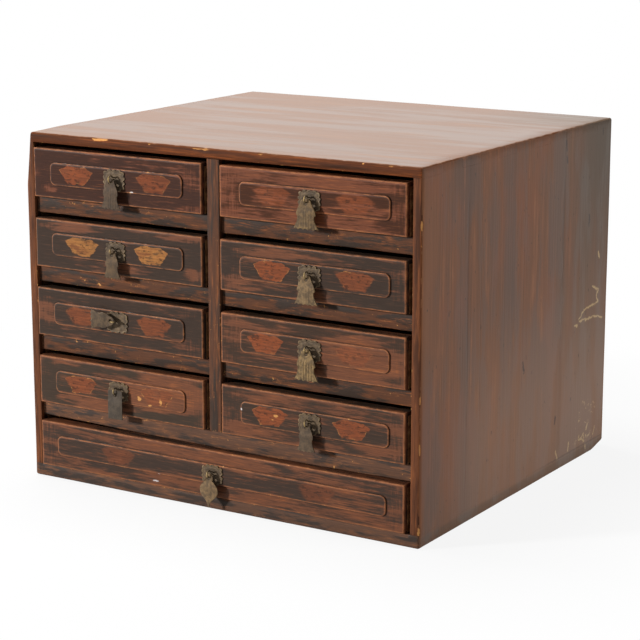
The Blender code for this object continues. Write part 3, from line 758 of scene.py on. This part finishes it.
# Drawer fronts: boards with a low raised panel, painted with two fans on a dark ground and rubbed
# through along every edge. The drawer sides are lapped into their ends, the floor into a groove.
panel_raise = 0.0015
panel_end_margins = {"left": (0.0205, 0.0205), "right": (0.022, 0.0155), "bottom": (0.0205, 0.018)}
panel_edge_margin = 0.0128
panel_corner = 0.0055
corner_steps = 8
front_round = 0.001
rim_round = 0.0007
front_edge_steps = 4
front_edge_wear = 0.9
worn_strip = 0.0017
front_wobble = 0.0004
front_wave = 0.017
lap_depth = 0.007
lap_width = 0.007
groove_low = 0.0027
groove_high = 0.0083
wall_drop = 0.004
fan_sides = ((0.744, 0.0161), (-2.2, 0.0294))
fan_top = 0.0085
fan_bottom = 0.008
rim_wood = paint(150, 96, 60)
fan_red = paint(124, 65, 37)
fan_brown = paint(114, 62, 37)
fan_gold = paint(150, 100, 53)
gold_line = paint(172, 122, 68)
drip_white = paint(184, 178, 176)
# Each drawer: cover, lacquer, ground, outline, then fans, patches and drips in millimetres from its middle.
drawers = {
    "left_1": (
        0.605, red_lacquer, paint(56, 35, 27), 0.5,
        ((-45, fan_red, 0.85, 0.0006), (44, fan_red, 0.7, 0.0016)),
        ((-10, 16, 60, 7, 0.06), (60, -15, 45, 9, 0.05), (-78, -13, 12, 6, 0.14), (86, 0, 10, 16, 0.05)),
        ((19.5, -9.6, 2.6, 0.9, drip_white),),
    ),
    "left_2": (
        0.595, brown_lacquer, dark_lacquer, 0.6,
        ((-40, fan_gold, 0.85, 0.0006), (40, fan_gold, 0.95, 0.0005)),
        ((-62, 17, 40, 5, 0.14), (72, 19, 32, 4, 0.14), (0, -16, 75, 6, 0.05), (84, -14, 12, 8, 0.12)),
        (),
    ),
    "left_3": (
        0.575, brown_lacquer, dark_lacquer, 0.2,
        ((-42, fan_brown, 0.9, 0.0022), (42, fan_brown, 0.9, 0.0018)),
        ((-86, 0, 12, 18, 0.10), (20, -15, 90, 8, 0.03), (40, 17, 60, 5, 0.02)),
        (),
    ),
    "left_4": (
        0.52, brown_lacquer, paint(56, 45, 36), 0.8,
        ((-45, fan_brown, 0.95, 0.0016), (44, fan_brown, 0.75, 0.0022)),
        ((48, 2, 62, 20, 0.15), (-30, -15, 50, 6, 0.10), (-86, 0, 16, 20, -0.08), (60, -18, 30, 5, -0.08)),
        ((23, -3.5, 3.4, 3.2, gold_line), (48, -3, 2.2, 4.4, gold_line), (36, -8.5, 3.0, 1.4, gold_line)),
    ),
    "right_1": (
        0.5, red_lacquer, paint(61, 35, 22), 0.0,
        ((-39, fan_red, 0.6, 0.0026), (46, fan_red, 0.7, 0.0026)),
        ((0, 14, 90, 8, 0.06), (0, -14, 90, 8, 0.05), (-70, 0, 12, 10, -0.08), (72, 3, 10, 6, -0.06)),
        (),
    ),
    "right_2": (
        0.56, brown_lacquer, dark_lacquer, 0.7,
        ((-40, fan_red, 0.95, 0.0006), (46, fan_brown, 0.9, 0.0016)),
        ((-40, 16, 55, 5, 0.13), (-60, -14, 42, 8, 0.09), (20, -16, 40, 6, 0.05)),
        (),
    ),
    "right_3": (
        0.53, brown_lacquer, paint(57, 43, 34), 0.2,
        ((-47, fan_red, 0.95, 0.0006), (45, fan_red, 0.5, 0.002)),
        ((50, 0, 58, 18, 0.15), (-60, 14, 42, 7, 0.06), (30, -17, 50, 6, 0.08), (20, 19, 34, 4, -0.06)),
        (),
    ),
    "right_4": (
        0.53, brown_lacquer, paint(55, 43, 35), 0.6,
        ((-43, fan_red, 0.9, 0.0008), (43, fan_red, 0.85, 0.0008)),
        ((-50, 15, 50, 7, 0.08), (42, 16, 44, 6, 0.07), (72, -14, 30, 9, 0.07), (-60, -15, 40, 6, 0.05)),
        ((-73.5, 2.9, 1.6, 1.8, drip_white), (-36, 2, 3.4, 1.6, gold_line), (-40, -2, 2.0, 1.0, gold_line)),
    ),
    "bottom": (
        0.52, brown_lacquer, paint(55, 43, 36), 0.1,
        ((-109, fan_brown, 0.55, 0.003), (113, fan_brown, 0.55, 0.003)),
        ((-60, 15, 130, 6, 0.08), (60, -15, 120, 6, 0.06), (150, 0, 40, 16, 0.05)),
        ((-62, -9.4, 3.0, 0.9, drip_white), (-66.5, -17, 4.5, 1.4, drip_white)),
    ),
}


def ringed(steps):
    """A form drawn through closed rings, each given as places and wear, and the edges of each ring."""
    form = bmesh.new()
    worn = form.verts.layers.float.new("worn")
    turn = form.verts.layers.int.new("turn")
    rings = []
    for places, wear in steps:
        if rings:
            drawn = bmesh.ops.extrude_edge_only(form, edges=rings[-1])["geom"]
            made = only(BMVert, drawn)
            rings.append([edge for edge in only(BMEdge, drawn) if len(edge.link_faces) == 1])
        else:
            made = bmesh.ops.create_circle(form, segments=len(places), radius=1.0)["verts"]
            for index, vert in enumerate(made):
                vert[turn] = index
            rings.append(form.edges[:])
        for vert in made:
            vert.co = places[vert[turn]]
            vert[worn] = wear
    return form, rings


def close_ends(form, rings):
    """Fill the first and the last ring."""
    for ring in (rings[0], rings[-1]):
        bmesh.ops.edgeloop_fill(form, edges=ring)


def front_ring(low, high, margins, inset, y, square):
    """Places round a front: its square border or its round-cornered panel, set in by a little."""
    hubs_x = (low.x + margins[0] + panel_corner, high.x - margins[1] - panel_corner)
    hubs_z = (low.z + panel_edge_margin + panel_corner, high.z - panel_edge_margin - panel_corner)
    places = []
    for quarter, right, upper in ((0, 1, 1), (1, 0, 1), (2, 0, 0), (3, 1, 0)):
        out_x = abs((low.x, high.x)[right] - hubs_x[right]) - inset if square else panel_corner - inset
        out_z = abs((low.z, high.z)[upper] - hubs_z[upper]) - inset if square else panel_corner - inset
        for step in range(corner_steps + 1):
            angle = (quarter + step / corner_steps) * math.pi / 2
            reach = max(abs(math.cos(angle)), abs(math.sin(angle))) if square else 1.0
            places.append(Vector((hubs_x[right] + out_x * math.cos(angle) / reach, y,
                                  hubs_z[upper] + out_z * math.sin(angle) / reach)))
        corner = places[-1]
        heading = Vector(((-1, 0, 0), (0, 0, -1), (1, 0, 0), (0, 0, 1))[quarter])
        run = hubs_z[1] - hubs_z[0] if quarter % 2 else hubs_x[1] - hubs_x[0]
        places += [corner + heading * length for length in even_lines(0.0, run, line_spacing)[1:-1]]
    return places


def drawer_front(low, high, margins):
    """A front board with its raised panel and the laps and groove at its back."""
    face_y = low.y + panel_raise
    lap_y = high.y - lap_depth - seam
    wall_height = high.z - low.z - wall_drop
    steps = ((0.0, lap_y, True), (0.0, face_y, True), (front_round + worn_strip, face_y, True),
             (-worn_strip, face_y, False), (0.0, face_y, False), (0.0, low.y, False),
             (rim_round + worn_strip, low.y, False))
    form, rings = ringed([(front_ring(low, high, margins, *step), 0.0) for step in steps])
    close_ends(form, rings)
    turn_outward(form)
    worn = point_layer(form, "worn")
    border, rim = rings[1], rings[5]
    for edges, radius in ((rim, rim_round), (border, front_round)):
        for vert in round_over(form, edges, radius, front_edge_steps):
            vert[worn] = front_edge_wear
    middle = (low + high) / 2
    for vert in form.verts:
        if vert.co.y < face_y + front_round:
            for axis in (0, 2):
                if min(vert.co[axis] - low[axis], high[axis] - vert.co[axis]) < 2 * front_round:
                    give = front_wobble * (0.5 + 0.5 * noise.noise(vert.co / front_wave))
                    vert.co[axis] += math.copysign(give, middle[axis] - vert.co[axis])

    cuts = [((x, 0.0, 0.0), (1.0, 0.0, 0.0)) for x in (low.x + lap_width + seam, high.x - lap_width - seam)]
    cuts += [((0.0, 0.0, low.z + z), (0.0, 0.0, 1.0)) for z in (groove_low, groove_high, wall_height + seam)]
    for place, facing in cuts:
        rear = [face for face in form.faces if lies_at(face, 1, lap_y)]
        parts = {item for face in rear for item in [face, *face.edges, *face.verts]}
        bmesh.ops.bisect_plane(form, geom=list(parts), dist=touch, plane_co=place, plane_no=facing)
    thick = []
    for face in form.faces:
        centre = face.calc_center_median() - low
        if lies_at(face, 1, lap_y):
            lapped = min(centre.x, high.x - low.x - centre.x) < lap_width and centre.z < wall_height
            if not lapped and not groove_low < centre.z < groove_high:
                thick.append(face)
    draw_out(form, thick, (0.0, high.y - lap_y, 0.0))
    turn_outward(form)
    for face in form.faces:
        face.material_index = 1 if face.normal.y > 0.5 else 0
    return form


def front_spot(finish, middle, x, z, reach_x, reach_z):
    """An oval on a front, given in millimetres from its middle."""
    return finish.oval(middle + Vector((x, 0.0, z)) / 1000, (reach_x / 1000, 1.0, reach_z / 1000), 0, 2)


def front_lacquer(label, low, high, margins):
    """Dark lacquer with two painted fans, rubbed through to red and orange along the brush strokes."""
    cover, lacquer, ground, outline, fans, patches, drips = drawers[label]
    middle = (low + high) / 2
    finish = Finish(f"front_lacquer_{label}", 0.11)
    across, deep, up = finish.axes(finish.measured(middle, (1.0, 1.0, 1.0)))
    from_middle = finish.gap(across, (margins[0] - margins[1]) / 2)
    half_across = (high.x - low.x - sum(margins)) / 2
    half_up = (high.z - low.z) / 2 - panel_edge_margin
    corner = []
    for value, half in ((from_middle, half_across), (finish.maths("ABSOLUTE", up), half_up)):
        out = finish.maths("SUBTRACT", value, half - panel_corner)
        corner.append(finish.maths("POWER", finish.most(out, 0.0), 2.0))
    outside_panel = finish.maths("SUBTRACT", finish.maths("SQRT", finish.maths("ADD", *corner)), panel_corner)
    on_panel = finish.rise(outside_panel, -0.0005, 0.0002, 1.0, 0.0)

    at_end = finish.rise(from_middle, half_across - 0.002, half_across + 0.004, 0.0, 0.5)
    level_strokes = finish.cloud((0.028, 0.004, 0.0022), 6.0, 0.65)
    upright_strokes = finish.cloud((0.0024, 0.004, 0.022), 6.0, 0.65)
    strokes = finish.total((level_strokes, 1.0), (finish.times(at_end, level_strokes), -1.0),
                           (finish.times(at_end, upright_strokes), 1.0))
    blots = finish.cloud((0.06, 0.02, 0.014), 4.0, 0.6)
    fibres = finish.cloud((0.02, 0.001, 0.0006), 3.0, 0.6)
    worn = finish.note("worn")
    rubbed = finish.total((blots, 0.52), (strokes, 0.48), (worn, 0.08), (on_panel, -0.04))
    for *spot, strength in patches:
        patch = finish.rise(front_spot(finish, middle, *spot), 0.1, 1.3, strength, 0.0)
        rubbed = finish.total((rubbed, 1.0), (patch, 1.0))
    thin = finish.rise(rubbed, cover - 0.06, cover + 0.06)
    finish.colour = finish.tint(thin, ground, lacquer)
    bright = finish.total((rubbed, 0.5), (fibres, 0.2), (strokes, 0.3))
    finish.lay(finish.rise(bright, cover + 0.03, cover + 0.2), orange_wood)

    ragged = finish.cloud((0.006, 0.004, 0.003), 4.0, 0.6)
    crazed = finish.cloud((0.012, 0.004, 0.004), 5.0, 0.65)
    painted = 0.0
    for x, fan_colour, share, blur in fans:
        from_fan = finish.gap(across, x / 1000)
        inside = finish.maths("SUBTRACT", fan_top, up)
        inside = finish.maths("MINIMUM", inside, finish.maths("ADD", up, fan_bottom))
        for slope, width in fan_sides:
            side = finish.maths("SUBTRACT", finish.total((up, slope), (width, 1.0)), from_fan)
            inside = finish.maths("MINIMUM", inside, side)
        inside = finish.total((inside, 1.0), (ragged, 0.006), (0.003, -1.0))
        kept = finish.rise(finish.total((crazed, 0.6), (strokes, 0.4)), 0.38, 0.47, 0.25, share)
        fan = finish.times(finish.rise(inside, -blur, blur), kept)
        shade = finish.tint(finish.rise(crazed, 0.46, 0.6, 0.0, 0.7), fan_colour, red_lacquer)
        finish.lay(fan, finish.tint(finish.rise(ragged, 0.36, 0.44, 0.6, 0.0), shade, dirt_and_crease_shade))
        border = finish.rise(finish.gap(inside, 0.0006), 0.0, 0.0006, 1.0, 0.0)
        finish.lay(finish.times(border, finish.rise(crazed, 0.5, 0.6, 0.0, outline)), gold_line)
        painted = finish.most(fan, painted)

    finish.lay(finish.rise(fibres, 0.3, 0.7, 0.35, 0.0), dirt_and_crease_shade)
    finish.lay(finish.rise(fibres, 0.58, 0.76, 0.0, 0.4), orange_wood)
    # A thin dark line is painted round the foot of the raised panel as shade in the crease.
    finish.lay(finish.rise(finish.gap(outside_panel, 0.0003), 0.0, 0.0012, 0.35, 0.0), dirt_and_crease_shade)
    specks = finish.cloud((0.007, 0.004, 0.005), 5.0, 0.65)
    finish.lay(finish.rise(finish.total((worn, 0.6), (specks, 0.5)), 0.66, 0.86), rim_wood, 0.65)
    flaked = finish.rise(finish.total((worn, 0.42), (specks, 0.75), (strokes, 0.25)), 1.0, 1.04)
    finish.lay(flaked, bare_wood)
    for *spot, drip_colour in drips:
        spread = finish.total((front_spot(finish, middle, *spot), 1.0), (ragged, 3.0))
        finish.lay(finish.rise(spread, 1.7, 2.1, 0.85, 0.0), drip_colour)
    finish.roughness = finish.total((finish.rise(thin, 0.0, 1.0, 0.18, 0.3), 1.0), (worn, 0.4))
    finish.bump(0.0004, 0.4, (fibres, 0.4), (thin, -0.3), (strokes, 0.4), (painted, 0.15), (flaked, -0.5))
    return finish.close()


for label in drawers:
    low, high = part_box(f"drawer_{label}_front")
    margins = panel_end_margins[label.split("_")[0]]
    finishes = (front_lacquer(label, low, high, margins), cross_wood)
    add_piece(f"front_{label}", drawer_front(low, high, margins), finishes,
              f"drawer_{label}", "front_lacquer", f"drawer_{label}_front")


# Back plates: sheet brass cut by hand with a lobed edge and chased with a raised border, gone dull
# and brown. Each lies flat on the raised panel, held there by the legs of its staple.
plate_width = 0.026
plate_height = 0.021
plate_sheet = 0.001
plate_squareness = 4.0
plate_lobes = 14
plate_lobe_depth = 0.0012
plate_points = plate_lobes * 14
plate_relief = ((1.0, 0.55, 1.0), (0.97, 0.95, 1.0), (0.92, 1.0, 0.6), (0.86, 0.76, 0.1), (0.80, 0.72, 0.0),
                (0.72, 0.9, 0.5), (0.64, 0.95, 0.3), (0.54, 0.7, 0.0), (0.42, 0.75, 0.1), (0.28, 0.9, 0.2),
                (0.12, 0.92, 0.2))
hammer_depth = 0.14
hammer_size = 0.0028
brass_dull = paint(82, 66, 47)
brass_pit = paint(36, 29, 22)
brass_rubbed = paint(116, 96, 66)


def back_plate(centre, seed):
    """A lobed plate with a chased border, its lobes cut unevenly by hand."""
    draw = random.Random(seed)
    trim = draw.uniform(0.88, 0.98)
    cuts = [plate_lobe_depth * draw.uniform(0.7, 2.0) for _ in range(plate_lobes)]
    outline = []
    for step in range(plate_points):
        angle = 2 * math.pi * step / plate_points
        lobe = plate_lobes * step / plate_points
        cut = cuts[round(lobe) % plate_lobes] * (1 - abs(math.sin(math.pi * lobe)))
        across = abs(math.cos(angle)) ** plate_squareness
        along = abs(math.sin(angle)) ** plate_squareness
        square = (across + along) ** (-1 / plate_squareness)
        outline.append(Vector((math.cos(angle) * (trim * plate_width / 2 * square - cut), 0.0,
                               math.sin(angle) * (trim * plate_height / 2 * square - cut))))
    steps = [([centre + place for place in outline], 0.0)]
    for share, height, wear in plate_relief:
        places = []
        for place in outline:
            hammered = 1 - hammer_depth + hammer_depth * noise.noise((centre + place * share) / hammer_size)
            places.append(centre + place * share - Vector((0.0, height * plate_sheet * hammered, 0.0)))
        steps.append((places, wear))
    form, rings = ringed(steps)
    close_ends(form, rings)
    return form


def aged_brass(name, dull, rubbed, shine):
    """Brass gone brown and dusty, pitted in the hollows and rubbed bright on the high edges."""
    finish = Finish(name, 0.25)
    finish.shader.inputs["Metallic"].default_value = 0.25
    mottle = finish.cloud((0.005, 0.005, 0.005), 5.0, 0.65)
    pits = finish.cloud((0.0012, 0.0012, 0.0012), 3.0, 0.6)
    worn = finish.note("worn")
    high = finish.total((worn, 0.3), (mottle, 0.7))
    finish.colour = finish.tint(finish.rise(mottle, 0.4, 0.6, 0.55, 0.0), dull, brass_pit)
    finish.lay(finish.rise(high, 0.5, 0.75, 0.0, shine), rubbed)
    finish.lay(finish.rise(finish.total((pits, 1.0), (worn, 0.06)), 0.3, 0.42, 0.6, 0.0), brass_pit)
    finish.roughness = finish.rise(high, 0.35, 0.75, 0.7, 0.5)
    finish.bump(0.0004, 0.5, (pits, 0.6), (mottle, 0.8))
    return finish.close()


plate_brass = aged_brass("plate_brass", brass_dull, brass_rubbed, 0.6)
for seed, label in enumerate(drawers):
    low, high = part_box(f"drawer_{label}_front")
    centre = Vector(((low.x + high.x) / 2, low.y - seam, (low.z + high.z) / 2))
    add_piece(f"plate_{label}", back_plate(centre, seed), (plate_brass,), f"drawer_{label}", "brass",
              f"pull_{label}_plate")


# Staples: split pins of round brass wire, bent to an eye in front of the plate. Both legs pass
# through the plate and the drawer front and are clinched apart against the back of the front.
wire_radius = 0.00068
wire_sides = 14
eye_radius = 0.003
eye_steps = 18
eye_stand = 0.0048
eye_rise = 0.002
leg_offset = 0.001
bend_radius = 0.0012
bend_steps = 6
clinch_length = 0.006
turned_labels = ("left_3",)
quarter_turn = Matrix.Rotation(math.pi / 2, 4, "Y")


def bend_wire(form, end, centre, angle, steps):
    """Carry the open end of a wire round a centre in Y and Z and return the new end."""
    spun = bmesh.ops.spin(form, geom=end, cent=(0.0, *centre), axis=(1.0, 0.0, 0.0), dvec=(0.0, 0.0, 0.0),
                          angle=angle, steps=steps, use_duplicate=False)["geom_last"]
    return only((BMVert, BMEdge), spun)


def run_wire(form, end, step):
    """Carry the open end of a wire straight on and return the new end."""
    drawn = bmesh.ops.extrude_edge_only(form, edges=only(BMEdge, end))["geom"]
    verts = only(BMVert, drawn)
    bmesh.ops.translate(form, verts=verts, vec=step)
    return verts + [edge for edge in only(BMEdge, drawn) if len(edge.link_faces) == 1]


def staple(leg_length):
    """A split pin with its eye at the origin and its legs towards the back, one leg above the other."""
    bend_z = -leg_offset - bend_radius
    neck = math.sqrt((eye_radius + bend_radius) ** 2 - bend_z ** 2)
    meet = math.atan2(-bend_z, neck)
    form = bmesh.new()
    worn = point_layer(form, "worn")
    bmesh.ops.create_circle(form, segments=wire_sides, radius=wire_radius)
    bmesh.ops.translate(form, verts=form.verts, vec=(0.0, -eye_radius, 0.0))
    end = form.verts[:] + form.edges[:]
    end = bend_wire(form, end, (0.0, 0.0), math.pi - meet, eye_steps)
    end = bend_wire(form, end, (neck, bend_z), meet - math.pi / 2, bend_steps)
    end = run_wire(form, end, (0.0, leg_length - bend_radius - neck, 0.0))
    end = bend_wire(form, end, (leg_length - bend_radius, bend_z), -math.pi / 2, bend_steps)
    end = run_wire(form, end, (0.0, 0.0, -clinch_length))
    bmesh.ops.edgeloop_fill(form, edges=only(BMEdge, end))
    bmesh.ops.mirror(form, geom=form.verts[:] + form.edges[:] + form.faces[:], axis="Z", merge_dist=touch)
    for vert in form.verts:
        vert[worn] = max(0.0, -vert.co.y / eye_radius)
    return form


def hang(form, label):
    """Move a form from the origin to the eye of a pull, turned as its staple is."""
    if label in turned_labels:
        bmesh.ops.transform(form, matrix=quarter_turn, verts=form.verts)
    bmesh.ops.translate(form, verts=form.verts, vec=eyes[label])
    return form


staple_brass = aged_brass("staple_brass", paint(84, 69, 46), paint(158, 132, 84), 0.7)
eyes = {}
for label in drawers:
    low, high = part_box(f"drawer_{label}_front")
    eyes[label] = Vector(((low.x + high.x) / 2, low.y - seam - plate_sheet - eye_stand,
                          (low.z + high.z) / 2 + eye_rise))
    staple_form = hang(staple(high.y + seam + wire_radius - eyes[label].y), label)
    add_piece(f"staple_{label}", staple_form, (staple_brass,), f"drawer_{label}", "brass")


# Pendants: bell-shaped fishtails, one plain strap and one leaf, cut from sheet brass and bowed a
# little on the anvil. Each hangs free on the eye of its staple by a round hole in its head.
pendant_sheet = 0.0009
pendant_points = 180
front_shares = (0.05, 0.1, 0.2, 0.3, 0.4, 0.5, 0.6, 0.7, 0.8, 0.88, 0.94)
back_shares = (0.97, 0.8, 0.6, 0.4, 0.2, 0.05)
pendant_profile = ((0.0, 0.0002), *((share, 0.0) for share in front_shares), (0.975, 0.00005), (1.0, 0.0003),
                   (1.0, 0.0006), *((share, pendant_sheet) for share in back_shares), (0.0, 0.0007))
pendant_wear_fall = 8.0
hole_radius = 0.0018
hole_drop = 0.0039
head_radius = 0.0045
head_step = 0.1
curve_steps = 12
bow_depth = 0.0008
bow_half = 0.011
flute_pitch = 0.0027
fishtail_shoulder = Vector((0.00825, -0.0145))
fishtail_notch = 0.0012
fishtail_tail = Vector((0.0105, -0.028))
fishtail_scallops = 5
scallop_depth = 0.0012
scallop_step = 0.0004
strap_half = 0.00775
strap_drop = 0.031
strap_corner = 0.003
strap_corner_steps = 8
leaf_belly = Vector((0.01, -0.0145))
leaf_tip = Vector((0.001, -0.0295))
leaf_tip_steps = 14
pendants = {
    "left_1": ("fishtail", 1.04, 1.02, 0.00008, (66, 50, 34), (80, 64, 44)),
    "left_2": ("fishtail", 0.92, 0.95, 0.0, (77, 59, 38), (92, 73, 48)),
    "left_3": ("fishtail", 0.95, 0.95, 0.0, (74, 58, 40), (104, 85, 57)),
    "left_4": ("strap", 1.07, 0.88, 0.0, (62, 52, 41), (78, 67, 53)),
    "right_1": ("fishtail", 1.22, 0.96, 0.0001, (90, 70, 44), (128, 102, 58)),
    "right_2": ("fishtail", 1.13, 0.96, 0.00006, (102, 81, 54), (136, 112, 74)),
    "right_3": ("fishtail", 1.18, 1.02, 0.00022, (110, 88, 56), (144, 120, 76)),
    "right_4": ("fishtail", 0.9, 0.95, 0.0, (76, 60, 43), (104, 85, 60)),
    "bottom": ("leaf", 1.0, 1.06, 0.0, (104, 82, 55), (128, 104, 70)),
}


def head_arc(last):
    """The round head of a pendant, from its top down to an angle on its right."""
    angles = even_lines(math.pi / 2, math.radians(last), head_step)
    middle = Vector((0.0, -hole_drop))
    return [middle + head_radius * Vector((math.cos(angle), math.sin(angle))) for angle in angles]


def fishtail_outline():
    """The right half of a bell with a nicked waist and a scalloped tail, from its top down."""
    places = head_arc(20)
    start = places[-1]
    upper = start - Vector((0.0, head_radius / 2))
    lower = fishtail_shoulder + Vector((0.0, head_radius))
    places += interpolate_bezier(start, upper, lower, fishtail_shoulder, curve_steps)[1:]
    waist = fishtail_shoulder - Vector((fishtail_notch, fishtail_notch))
    tail = fishtail_tail
    upper = Vector((waist.x, (waist.y + tail.y) / 2))
    lower = Vector(((waist.x + tail.x) / 2, (waist.y + 2 * tail.y) / 3))
    places += interpolate_bezier(waist, upper, lower, tail, curve_steps)
    for x in even_lines(tail.x, 0.0, scallop_step)[1:]:
        lift = abs(math.sin(math.pi * (tail.x - x) * fishtail_scallops / (2 * tail.x)))
        places.append(Vector((x, tail.y + scallop_depth * lift)))
    return places


def strap_outline():
    """The right half of a plain strap with eased upper corners, from its top down."""
    top = head_radius - hole_drop
    upper = Vector((strap_half - strap_corner, top))
    lower = Vector((strap_half, top - strap_corner))
    corner = Vector((strap_half, top))
    places = [Vector((0.0, top))] + interpolate_bezier(upper, corner, corner, lower, strap_corner_steps)
    return places + [Vector((strap_half, -strap_drop)), Vector((0.0, -strap_drop))]


def leaf_outline():
    """The right half of a leaf that swells below its head and ends in a blunt point."""
    places = head_arc(-30)
    start = places[-1]
    places += interpolate_bezier(start, start - Vector((0.0, head_radius / 4)),
                                 leaf_belly + Vector((0.0, head_radius)), leaf_belly, curve_steps)[1:]
    fall = Vector((0.0, (leaf_belly.y - leaf_tip.y) / 2))
    places += interpolate_bezier(leaf_belly, leaf_belly - fall, leaf_tip + fall, leaf_tip, leaf_tip_steps)[1:]
    return places + [Vector((0.0, leaf_tip.y))]


def even_outline(right_half):
    """Evenly spaced places round a whole outline, clockwise from the top, given its right half."""
    corners = right_half + [Vector((-place.x, place.y)) for place in reversed(right_half[:-1])]
    lengths = [0.0]
    for start, end in zip(corners, corners[1:]):
        lengths.append(lengths[-1] + (end - start).length)
    places = []
    index = 0
    for step in range(pendant_points):
        reach = lengths[-1] * step / pendant_points
        while lengths[index + 1] < reach:
            index += 1
        share = (reach - lengths[index]) / (lengths[index + 1] - lengths[index])
        places.append(corners[index].lerp(corners[index + 1], share))
    return places


def pendant(right_half, wide, tall, flute):
    """A bowed sheet of brass round its hole, with its staple's eye at the origin."""
    rim = [Vector((place.x * wide, place.y * tall)) for place in even_outline(right_half)]
    hole = []
    for step in range(pendant_points):
        angle = 2 * math.pi * step / pendant_points
        hole.append(Vector((hole_radius * math.sin(angle), hole_radius * math.cos(angle) - hole_drop)))
    steps = []
    for share, depth in pendant_profile:
        places = []
        for inner, outer in zip(hole, rim):
            flat = inner.lerp(outer, share)
            below = min(1.0, max(0.0, (-flat.y - 2 * hole_drop) / hole_drop))
            bowed = bow_depth * below * (1 - (flat.x / bow_half) ** 2)
            fluted = flute * below * math.cos(2 * math.pi * flat.x / flute_pitch)
            places.append(Vector((flat.x, depth - pendant_sheet / 2 - bowed - fluted, flat.y)))
        steps.append((places, max(0.0, 1.0 - pendant_wear_fall * (1.0 - share))))
    form, rings = ringed(steps)
    bmesh.ops.bridge_loops(form, edges=rings[0] + rings[-1])
    return form


outlines = {"fishtail": fishtail_outline(), "strap": strap_outline(), "leaf": leaf_outline()}
for label, (shape, wide, tall, flute, dull, rubbed) in pendants.items():
    pendant_form = hang(pendant(outlines[shape], wide, tall, flute), label)
    pendant_brass = aged_brass(f"pendant_brass_{label}", paint(*dull), paint(*rubbed), 0.5)
    add_piece(f"hanging_{label}", pendant_form, (pendant_brass,), f"pendant_{label}", "brass",
              f"pull_{label}_pendant")


# Floor, light and camera: a white sweep under soft daylight from the upper left, seen as the
# photograph sees it.
floor_half = 6.0
floor_drop = 0.0004
floor_form = bmesh.new()
bmesh.ops.create_grid(floor_form, x_segments=1, y_segments=1, size=floor_half)
bmesh.ops.translate(floor_form, verts=floor_form.verts, vec=(0.0, 0.0, -floor_drop))
floor_mesh = new_mesh("floor", floor_form)
floor = new_object("floor", floor_mesh)


def choose(steps, share, first, second, output):
    """Show the second shader instead of the first, by share, at an output node."""
    node = steps.add("MixShader")
    for socket, value in zip(node.inputs, (share, first.outputs[0], second.outputs[0])):
        steps.give(socket, value)
    steps.give(steps.nodes[output].inputs["Surface"], node.outputs[0])


sweep = Finish("white_sweep", 0.0)
sweep.shader.inputs["Base Color"].default_value = (0.65, 0.65, 0.65, 1.0)
sweep.shader.inputs["Roughness"].default_value = 1.0
away = sweep.add("VectorMath", Vector=sweep.place)
away.operation = "LENGTH"
sight = sweep.add("LightPath").outputs
looked_at = sweep.most(sight["Is Camera Ray"], sight["Is Glossy Ray"])
brightness = sweep.rise(away.outputs["Value"], 0.3, 0.7, 0.88, 1.0)
glow_share = sweep.times(brightness, sweep.rise(looked_at, 0.0, 1.0, 0.1, 1.0))
choose(sweep, glow_share, sweep.shader, sweep.add("Emission"), "Material Output")
floor_mesh.materials.append(sweep.material)

white = (1.0, 1.0, 1.0, 1.0)
world = bpy.data.worlds.new("white_room")
bpy.context.scene.world = world
world.use_nodes = True
room = Steps(world.node_tree)
room_light = room.nodes["Background"]
room_light.inputs["Color"].default_value = white
room_light.inputs["Strength"].default_value = 0.1
backdrop = room.add("Background", Color=white, Strength=1.0)
sight = room.add("LightPath").outputs
mirrored = room.most(sight["Is Glossy Ray"], sight["Is Transmission Ray"])
choose(room, room.most(sight["Is Camera Ray"], mirrored), room_light, backdrop, "World Output")


def softbox(name, place, target, size, watts):
    """A square lamp that faces a target."""
    lamp = bpy.data.lights.new(name, "AREA")
    lamp.size = size
    lamp.energy = watts
    holder = new_object(name, lamp)
    holder.location = place
    holder.rotation_euler = (Vector(target) - Vector(place)).to_track_quat("-Z", "Y").to_euler()


softbox("overhead_lamp", (-0.5, 0.1, 1.9), (0.0, 0.0, 0.3), 1.0, 37.0)
softbox("key_lamp", (-3.0, -3.4, 1.35), (0.0, -0.1, 0.15), 0.5, 352.0)
softbox("side_lamp", (2.1, 0.3, 0.9), (0.2, 0.0, 0.15), 1.0, 22.5)

camera_data = bpy.data.cameras.new("camera")
camera_data.sensor_width = 36.0
camera_data.lens = 117.42
camera = new_object("camera", camera_data)
camera.location = (1.0559, -1.7168, 0.6046)
camera.rotation_euler = (math.radians(90.0 - 12.892), 0.0, math.radians(31.762))
bpy.context.scene.camera = camera
bpy.context.scene.view_settings.view_transform = "Standard"
